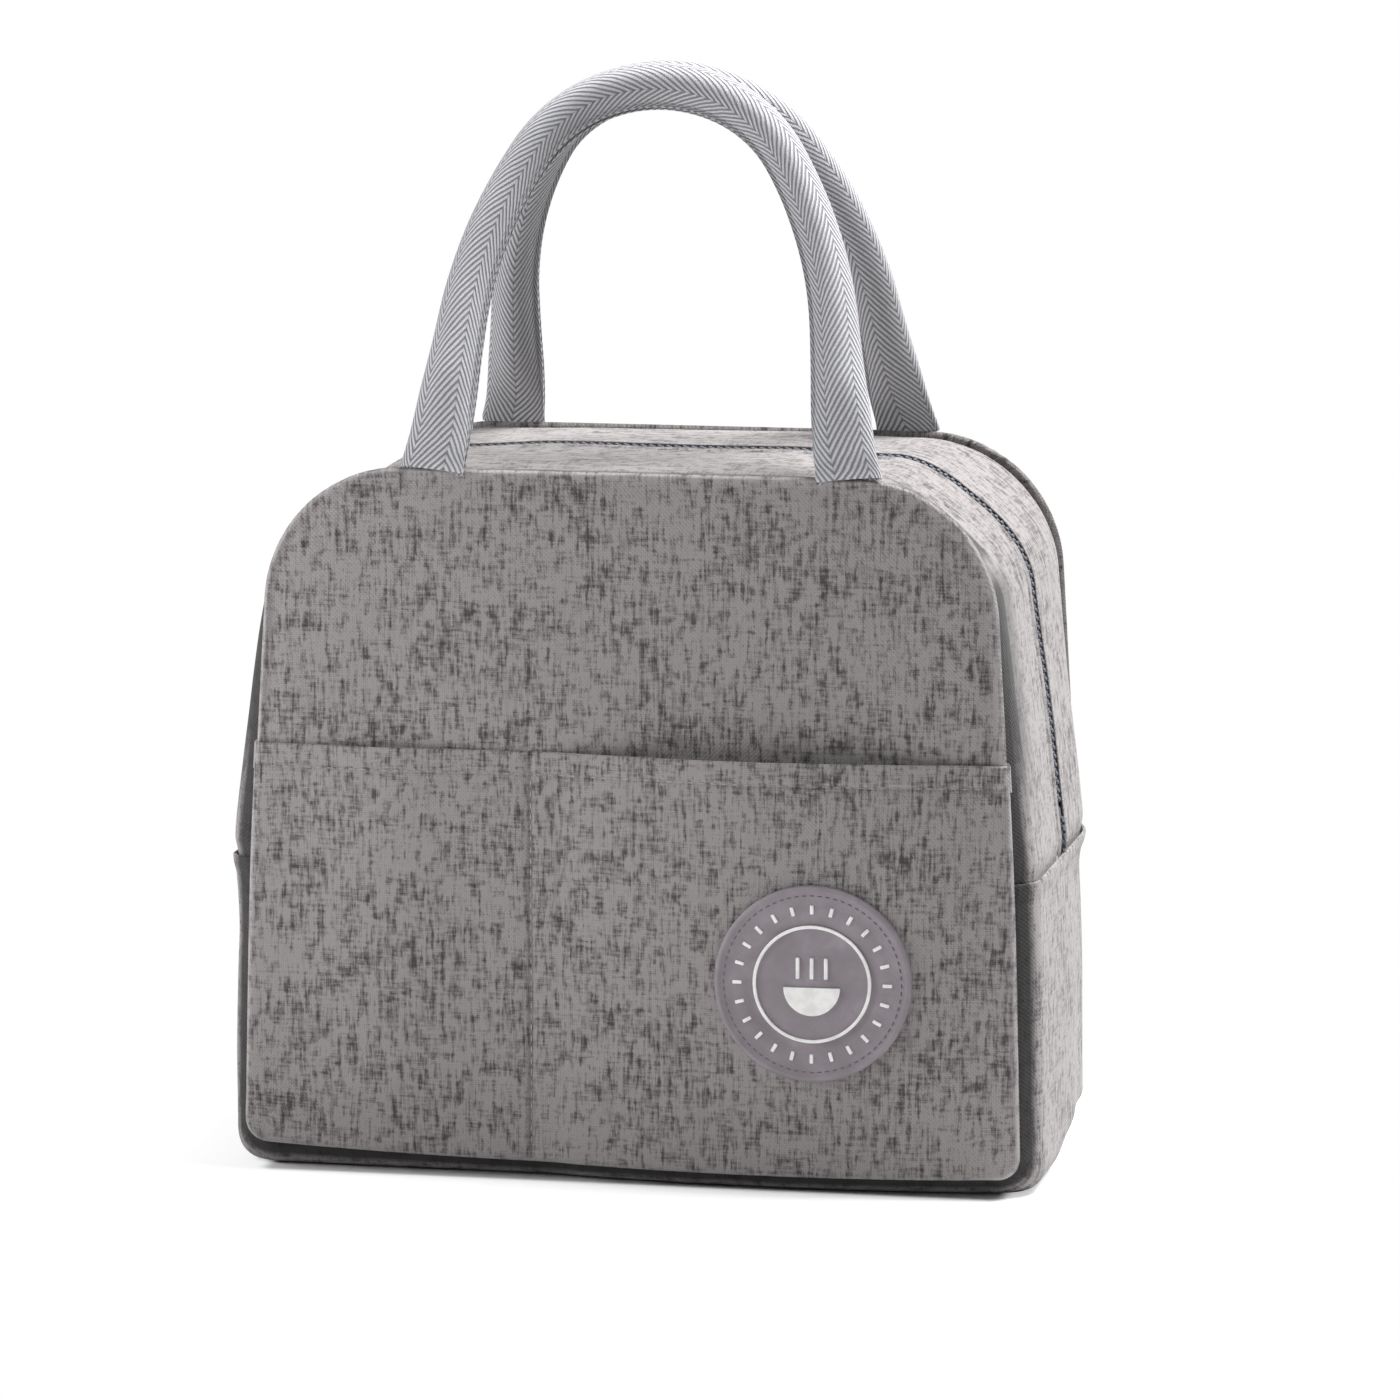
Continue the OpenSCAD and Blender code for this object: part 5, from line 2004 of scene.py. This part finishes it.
    def core(self, material: bpy.types.Material) -> bpy.types.Object:
        """Builds the soft core inside the fold.

        Args:
            material: core material.

        Returns:
            The piece.
        """
        def place(k: Array, s: Array) -> Placement:
            """Points and UVs of the core's skin."""
            x, z, angle, t = self.centre(s)
            half_w, half_t = self.section(t)
            out, side = (half_w - 0.0012) * np.cos(k), (half_t - 0.0012) * np.sin(k)
            made = self.stand(x + out * np.cos(angle), side, z + out * np.sin(angle), t)
            return made, np.stack([k * 0.005, s], axis=1)

        ring = np.linspace(-math.pi, math.pi, 21)
        rows = np.linspace(self.core_start, 2 * self.half - self.core_start, 60)
        mesh = grid_mesh(ring, rows, place, self.wall is Wall.FRONT)
        bmesh.ops.remove_doubles(mesh, verts=mesh.verts[:], dist=1e-6)
        bmesh.ops.holes_fill(mesh, edges=[e for e in mesh.edges if e.is_boundary], sides=0)
        bmesh.ops.recalc_face_normals(mesh, faces=mesh.faces[:])
        return as_piece(f"{self.wall.label}_handle_cord", mesh, material)

    def stitches(self, material: bpy.types.Material) -> list[bpy.types.Object]:
        """Sews each foot with a box of stitches and the fold with a straight row.

        Args:
            material: thread material.

        Returns:
            Both pieces.
        """
        total = 2 * self.half
        face = self.wall.value * -1
        box_k = [
            *np.linspace(0.16, 0.66, 6), *np.full(4, 0.66),
            *np.linspace(0.66, 0.16, 6), *np.full(4, 0.16),
        ]
        box_t = [
            *np.full(6, 0.0025), *np.linspace(0.005, 0.0125, 4),
            *np.full(6, 0.015), *np.linspace(0.0125, 0.005, 4),
        ]
        k = np.array(box_k) * -face
        t = np.array(box_t)
        k, s = np.concatenate([k, k]), np.concatenate([t, total - t])
        points, side, run = slopes(self.place, k, s)
        along = np.concatenate([np.tile([0] * 6 + [1] * 4 + [0] * 6 + [1] * 4, 2)]).astype(bool)[:, None]
        course, other = np.where(along, run, side), np.where(along, side, run)
        out = np.cross(course, other)
        flip = np.sign(np.sum(out * (0, face * -1, 0), axis=1))[:, None]
        feet = sew(f"{self.wall.label}_foot_stitches", points, course, other * flip, 0.0022, 0.0005, material)
        s = np.arange(0.026, total - 0.026, 0.0034)
        rows = []
        for sign in (-1.0, 1.0):
            points, side, run = slopes(self.place, np.full_like(s, 0.93 * sign), s)
            rows.append((points, run, side))
        points, run, side = (np.concatenate(part) for part in zip(*rows))
        turned = np.where(np.sum(np.cross(run, side) * (points - self.middle(points)), axis=1) < 0, -1.0, 1.0)
        edge = sew(
            f"{self.wall.label}_fold_stitches", points, run, side * turned[:, None],
            0.0024, 0.00045, material,
        )
        return [feet, edge]

    def middle(self, points: Array) -> Array:
        """Each point's own shadow on the handle's middle plane."""
        normal = np.array([0.0, math.cos(self.lean), -self.wall.value * -math.sin(self.lean)])
        normal[2] = -math.sin(self.lean) if self.wall is Wall.FRONT else math.sin(self.lean)
        origin = np.array([0.0, self.wall.value * self.hinge[0], self.hinge[1]])
        return points - ((points - origin) @ normal)[:, None] * normal

    def build(self, finishes: Finishes, tally: Tally) -> None:
        """Builds the handle's pieces.

        Args:
            finishes: materials.
            tally: where the pieces are put on their bodies.
        """
        label, top, body = self.wall.label, self.wall.top, self.wall.handle
        (y, z), turned = self.hinge, 0.006
        up = (0.0, self.wall.value * (y - turned * math.sin(self.lean)), z + turned * math.cos(self.lean))
        bend = ((0.0, self.wall.value * y, z), up)
        webbing = self.webbing(finishes.webbing)
        core = self.core(finishes.foam)
        stitched = self.stitches(finishes.thread)
        for piece, slot, nodes in (
            (webbing, Slot.WEBBING, (f"{label}_handle_webbing",)),
            (core, Slot.CORE, (f"{label}_handle_core",)),
            (stitched[0], Slot.WEBBING, ()),
            (stitched[1], Slot.WEBBING, ()),
        ):
            tally.add(piece, slot, (body,) if piece is core else (top, body), nodes, bend)


# ------------------------------------------------------------------ badge


@dataclass
class Badge:
    """Round rubber badge on the right-hand bay, with a plain raised design."""

    x: float = 0.0545
    z: float = 0.0615
    radius: float = 0.028
    thickness: float = 0.0016
    relief: float = 0.0004
    bay_x: float = 0.040
    bay_y: float = -0.066
    bay_r: float = 0.319375

    def on_bay(self, mesh: bmesh.types.BMesh) -> None:
        """Bends a flat mesh, drawn in x and y with z outwards, onto the bay's front."""
        for vert in mesh.verts:
            x, z, out = vert.co.x + self.x, vert.co.y + self.z, vert.co.z
            drop = self.bay_r - math.sqrt(self.bay_r**2 - (x - self.bay_x) ** 2)
            vert.co = (x, self.bay_y + drop - out, z)

    def disc(self, material: bpy.types.Material) -> bpy.types.Object:
        """Turns the badge's own disc with its rounded rim.

        Args:
            material: rubber material.

        Returns:
            The piece.
        """
        r, t = self.radius, self.thickness
        profile = [
            (0.0, -0.0004), (r - 0.0003, -0.0004), (r, 0.0), (r, t - 0.0004), (r - 0.00035, t + 0.0002),
            (r - 0.0009, t + self.relief), (r - 0.0015, t + 0.0003), (r - 0.0019, t), (r - 0.006, t),
            (r * 0.6 + 0.0022, t), (r * 0.6 + 0.0017, t - 0.0003), (r * 0.5, t - 0.0003), (0.0, t - 0.0003),
        ]
        mesh = bmesh.new()
        mesh.loops.layers.uv.new("UVMap")
        verts = [mesh.verts.new((a, 0.0, b)) for a, b in profile]
        edges = [mesh.edges.new(pair) for pair in zip(verts[:-1], verts[1:])]
        bmesh.ops.spin(
            mesh, geom=verts + edges, cent=(0, 0, 0), axis=(0, 0, 1), angle=2 * math.pi, steps=96,
            use_merge=True,
        )
        bmesh.ops.remove_doubles(mesh, verts=mesh.verts[:], dist=1e-6)
        bmesh.ops.recalc_face_normals(mesh, faces=mesh.faces[:])
        self.on_bay(mesh)
        bmesh.ops.recalc_face_normals(mesh, faces=mesh.faces[:])
        return as_piece("badge_disc", mesh, material, 40.0)

    def bar(
        self, mesh: bmesh.types.BMesh, size: tuple[float, float], at: tuple[float, float],
        turn: float = 0.0,
    ) -> None:
        """Adds a flat raised bar to the design."""
        low = self.thickness - 0.0005
        tall = self.relief + 0.0005
        matrix = (
            Matrix.Rotation(turn, 4, "Z")
            @ Matrix.Translation((*at, low + tall / 2))
            @ Matrix.Diagonal((*size, tall, 1))
        )
        made = bmesh.ops.create_cube(mesh, size=1.0, matrix=matrix)["verts"]
        edges = list({e for v in made for e in v.link_edges})
        bmesh.ops.bevel(
            mesh, geom=edges, offset=0.00015, segments=1, profile=0.5, affect="EDGES", material=-1
        )

    def design(self, material: bpy.types.Material) -> bpy.types.Object:
        """Raises the ring, its bars and the steaming bowl.

        Args:
            material: light print material.

        Returns:
            The piece.
        """
        mesh = bmesh.new()
        mesh.loops.layers.uv.new("UVMap")
        ring_r, low, high = self.radius * 0.6, self.thickness - 0.0006, self.thickness + self.relief
        section = [(ring_r - 0.0009, low), (ring_r, low), (ring_r, high - 0.0001), (ring_r - 0.0001, high),
                   (ring_r - 0.0008, high), (ring_r - 0.0009, high - 0.0001)]
        verts = [mesh.verts.new((a, 0.0, b)) for a, b in section]
        edges = [mesh.edges.new((verts[i - 1], verts[i])) for i in range(len(verts))]
        bmesh.ops.spin(
            mesh, geom=verts + edges, cent=(0, 0, 0), axis=(0, 0, 1), angle=2 * math.pi, steps=96,
            use_merge=True,
        )
        for i in range(24):
            self.bar(mesh, (0.0026, 0.001), (ring_r + 0.0045, 0.0), math.tau * i / 24)
        for x in (-0.004, 0.0, 0.004):
            self.bar(mesh, (0.001, 0.006), (x, 0.0045))
        self.bowl(mesh, low, high)
        bmesh.ops.remove_doubles(mesh, verts=mesh.verts[:], dist=1e-7)
        bmesh.ops.recalc_face_normals(mesh, faces=mesh.faces[:])
        self.on_bay(mesh)
        bmesh.ops.recalc_face_normals(mesh, faces=mesh.faces[:])
        return as_piece("badge_design", mesh, material, 40.0)

    def bowl(self, mesh: bmesh.types.BMesh, low: float, high: float) -> None:
        """Adds the half-round bowl."""
        made = bmesh.ops.create_circle(
            mesh, cap_ends=True, segments=48, radius=0.008, matrix=Matrix.Translation((0, -0.001, low))
        )
        verts = made["verts"]
        faces = list({f for v in verts for f in v.link_faces})
        edges = list({e for v in verts for e in v.link_edges})
        bmesh.ops.bisect_plane(
            mesh, geom=verts + edges + faces, plane_co=(0, -0.001, 0), plane_no=(0, 1, 0),
            clear_outer=True,
        )
        faces = [f for f in mesh.faces if len(f.verts) > 12]
        raised = bmesh.ops.extrude_face_region(mesh, geom=faces, use_keep_orig=True)["geom"]
        top = [v for v in raised if isinstance(v, bmesh.types.BMVert)]
        bmesh.ops.translate(mesh, verts=top, vec=(0, 0, high - low))

    def stitches(self, material: bpy.types.Material) -> bpy.types.Object:
        """Sews the badge on, inside its rim.

        Args:
            material: thread material.

        Returns:
            The stitches as one piece.
        """
        angles = np.linspace(0, math.tau, 72, endpoint=False)
        r = self.radius - 0.0028

        def place(a: Array, b: Array) -> Placement:
            """Points of a circle on the badge's face."""
            x, z = self.x + b * np.cos(a), self.z + b * np.sin(a)
            drop = self.bay_r - np.sqrt(self.bay_r**2 - (x - self.bay_x) ** 2)
            points = np.stack([x, self.bay_y + drop - self.thickness, z], axis=1)
            return points, points[:, :2]

        points, run, side = slopes(place, angles, np.full_like(angles, r))
        return sew("badge_stitches", points, run, side, 0.0016, 0.0004, material, 0.45)

    def build(self, finishes: Finishes, tally: Tally) -> None:
        """Builds the badge's pieces.

        Args:
            finishes: materials.
            tally: where the pieces are put on their bodies.
        """
        tally.add(self.disc(finishes.rubber), Slot.BADGE, (Body.BASE,), ("badge",))
        tally.add(self.design(finishes.print), Slot.PRINT, (Body.BASE,), ("badge_relief",))
        tally.add(self.stitches(finishes.dark_rubber), Slot.BADGE, (Body.BASE,))


# ------------------------------------------------------------------ fittings kept as solids


@dataclass
class ZipFittings:
    """The slider, its pull and the sewn ends, which keep their solid shapes."""

    metal: Sequence[str] = ("zip_slider", "zip_pull")
    moulded: Sequence[str] = ("zip_ends",)

    def dress(self, finishes: Finishes) -> None:
        """Puts the finishes on the solids.

        Args:
            finishes: materials.
        """
        for names, material in ((self.metal, finishes.slider), (self.moulded, finishes.teeth)):
            for name in names:
                solid = bpy.data.objects[name]
                for slot in solid.material_slots:
                    slot.material = material
                LOG.info("%s: dressed with %s", name, material.name)


# ------------------------------------------------------------------ studio


@dataclass
class Studio:
    """Pale floor, soft lamps, plain surroundings and the camera."""

    azimuth: float = math.radians(11.62)
    elevation: float = math.radians(8.72)
    distance: float = 2.170
    target: tuple[float, float, float] = (0.00865, 0.0, 0.1308)
    focal: float = 7500.0
    frame_size: float = 1400.0
    sensor: float = 36.0
    world: float = 0.22
    floor_glow: float = 0.5
    footprint: tuple[float, float] = (0.104, 0.056)
    shadow_reach: float = 0.045
    key_power: float = 66.0
    fill_power: float = 2.8

    def surroundings(self) -> None:
        """Lights the scene evenly, and shows a white background."""
        world = bpy.data.worlds.new("studio_surroundings")
        world.use_nodes = True
        tree = world.node_tree
        tree.nodes.clear()
        paths = tree.nodes.new("ShaderNodeLightPath")
        seen = tree.nodes.new("ShaderNodeMath")
        seen.operation = "MAXIMUM"
        either = tree.nodes.new("ShaderNodeMath")
        either.operation = "MAXIMUM"
        strength = tree.nodes.new("ShaderNodeMapRange")
        shade = tree.nodes.new("ShaderNodeBackground")
        out = tree.nodes.new("ShaderNodeOutputWorld")
        tree.links.new(paths.outputs["Is Camera Ray"], seen.inputs[0])
        tree.links.new(paths.outputs["Is Glossy Ray"], seen.inputs[1])
        tree.links.new(seen.outputs[0], either.inputs[0])
        tree.links.new(paths.outputs["Is Transmission Ray"], either.inputs[1])
        tree.links.new(either.outputs[0], strength.inputs["Value"])
        strength.inputs["To Min"].default_value = self.world
        strength.inputs["To Max"].default_value = 1.0
        tree.links.new(strength.outputs["Result"], shade.inputs["Strength"])
        tree.links.new(shade.outputs[0], out.inputs["Surface"])
        bpy.context.scene.world = world

    def floor(self) -> None:
        """Lays the floor, white where the camera sees it unshaded."""
        mesh = bmesh.new()
        bmesh.ops.create_grid(mesh, x_segments=1, y_segments=1, size=6.0)
        data = bpy.data.meshes.new("studio_floor")
        mesh.to_mesh(data)
        mesh.free()
        material = bpy.data.materials.new("pale_floor")
        material.use_nodes = True
        tree = material.node_tree
        shader = tree.nodes["Principled BSDF"]
        shader.inputs["Base Color"].default_value = (*srgb(212, 212, 212)[:3], 1.0)
        shader.inputs["Roughness"].default_value = 0.9
        shader.inputs["Specular IOR Level"].default_value = 0.2
        kit = NodeKit(tree)
        seen = kit.node("ShaderNodeLightPath").outputs["Is Camera Ray"]
        shader.inputs["Emission Color"].default_value = (1, 1, 1, 1)
        x, y, _ = kit.separate(kit.node("ShaderNodeTexCoord").outputs["Object"])
        past = [
            kit.math("MAXIMUM", kit.math("SUBTRACT", kit.math("ABSOLUTE", along), half), 0.0)
            for along, half in zip((x, y), self.footprint)
        ]
        square = kit.math(
            "ADD", kit.math("MULTIPLY", past[0], past[0]), kit.math("MULTIPLY", past[1], past[1])
        )
        away = kit.math("SQRT", square)
        glow = kit.math("MULTIPLY", kit.ramp(away, 0.001, 0.006, 0.0, self.floor_glow), seen)
        kit.link(glow, shader.inputs["Emission Strength"])
        clear = kit.math("MULTIPLY", kit.ramp(away, 0.004, self.shadow_reach), seen)
        white = kit.node("ShaderNodeEmission", {"Color": (1, 1, 1, 1), "Strength": 1.0})
        both = kit.node("ShaderNodeMixShader", {"Fac": clear})
        kit.link(shader.outputs[0], both.inputs[1])
        kit.link(white.outputs[0], both.inputs[2])
        kit.link(both.outputs[0], tree.nodes["Material Output"].inputs["Surface"])
        data.materials.append(material)
        floor = bpy.data.objects.new("studio_floor", data)
        bpy.context.scene.collection.objects.link(floor)

    def lamp(
        self, name: str, towards: tuple[float, float, float], distance: float, size: float, power: float
    ) -> None:
        """Adds a square soft lamp aimed at the bag.

        Args:
            name: name of the lamp.
            towards: direction from the bag to the lamp.
            distance: distance from the bag.
            size: side of the lamp.
            power: power in watts.
        """
        data = bpy.data.lights.new(name, "AREA")
        data.shape = "SQUARE"
        data.size = size
        data.energy = power
        lamp = bpy.data.objects.new(name, data)
        direction = Vector(towards).normalized()
        lamp.location = Vector((0, 0, 0.12)) + direction * distance
        lamp.rotation_euler = direction.to_track_quat("Z", "Y").to_euler()
        bpy.context.scene.collection.objects.link(lamp)

    def camera(self) -> None:
        """Sets up the camera."""
        back = Vector((
            math.sin(self.azimuth) * math.cos(self.elevation),
            -math.cos(self.azimuth) * math.cos(self.elevation),
            math.sin(self.elevation),
        ))
        data = bpy.data.cameras.new("studio_camera")
        data.sensor_width = data.sensor_height = self.sensor
        data.lens = self.sensor * self.focal / self.frame_size
        data.clip_end = 30.0
        camera = bpy.data.objects.new("studio_camera", data)
        camera.location = Vector(self.target) + back * self.distance
        camera.rotation_euler = back.to_track_quat("Z", "Y").to_euler()
        bpy.context.scene.collection.objects.link(camera)
        bpy.context.scene.camera = camera

    def build(self) -> None:
        """Sets up the whole studio."""
        bpy.context.scene.view_settings.view_transform = "Standard"
        self.surroundings()
        self.floor()
        self.lamp("key_lamp", (0.62, 0.35, 1.38), 1.5, 0.9, self.key_power)
        self.lamp("fill_lamp", (-0.75, -0.45, 0.32), 0.6, 0.35, self.fill_power)
        self.camera()


def main() -> None:
    """Builds the bag and its studio, and logs how many pieces were made."""
    logging.basicConfig(level=logging.INFO, format="%(message)s")
    finishes = Finishes()
    tally = Tally()
    for wall in Wall:
        WallCloth(wall).build(finishes, tally)
        ZipSide(wall).build(finishes, tally)
        Handle(wall).build(finishes, tally)
    Gusset().build(finishes, tally)
    Pocket().build(finishes, tally)
    Badge().build(finishes, tally)
    ZipFittings().dress(finishes)
    Studio().build()
    LOG.info("%d new pieces", len(tally.rows))


if __name__ == "__main__":
    main()
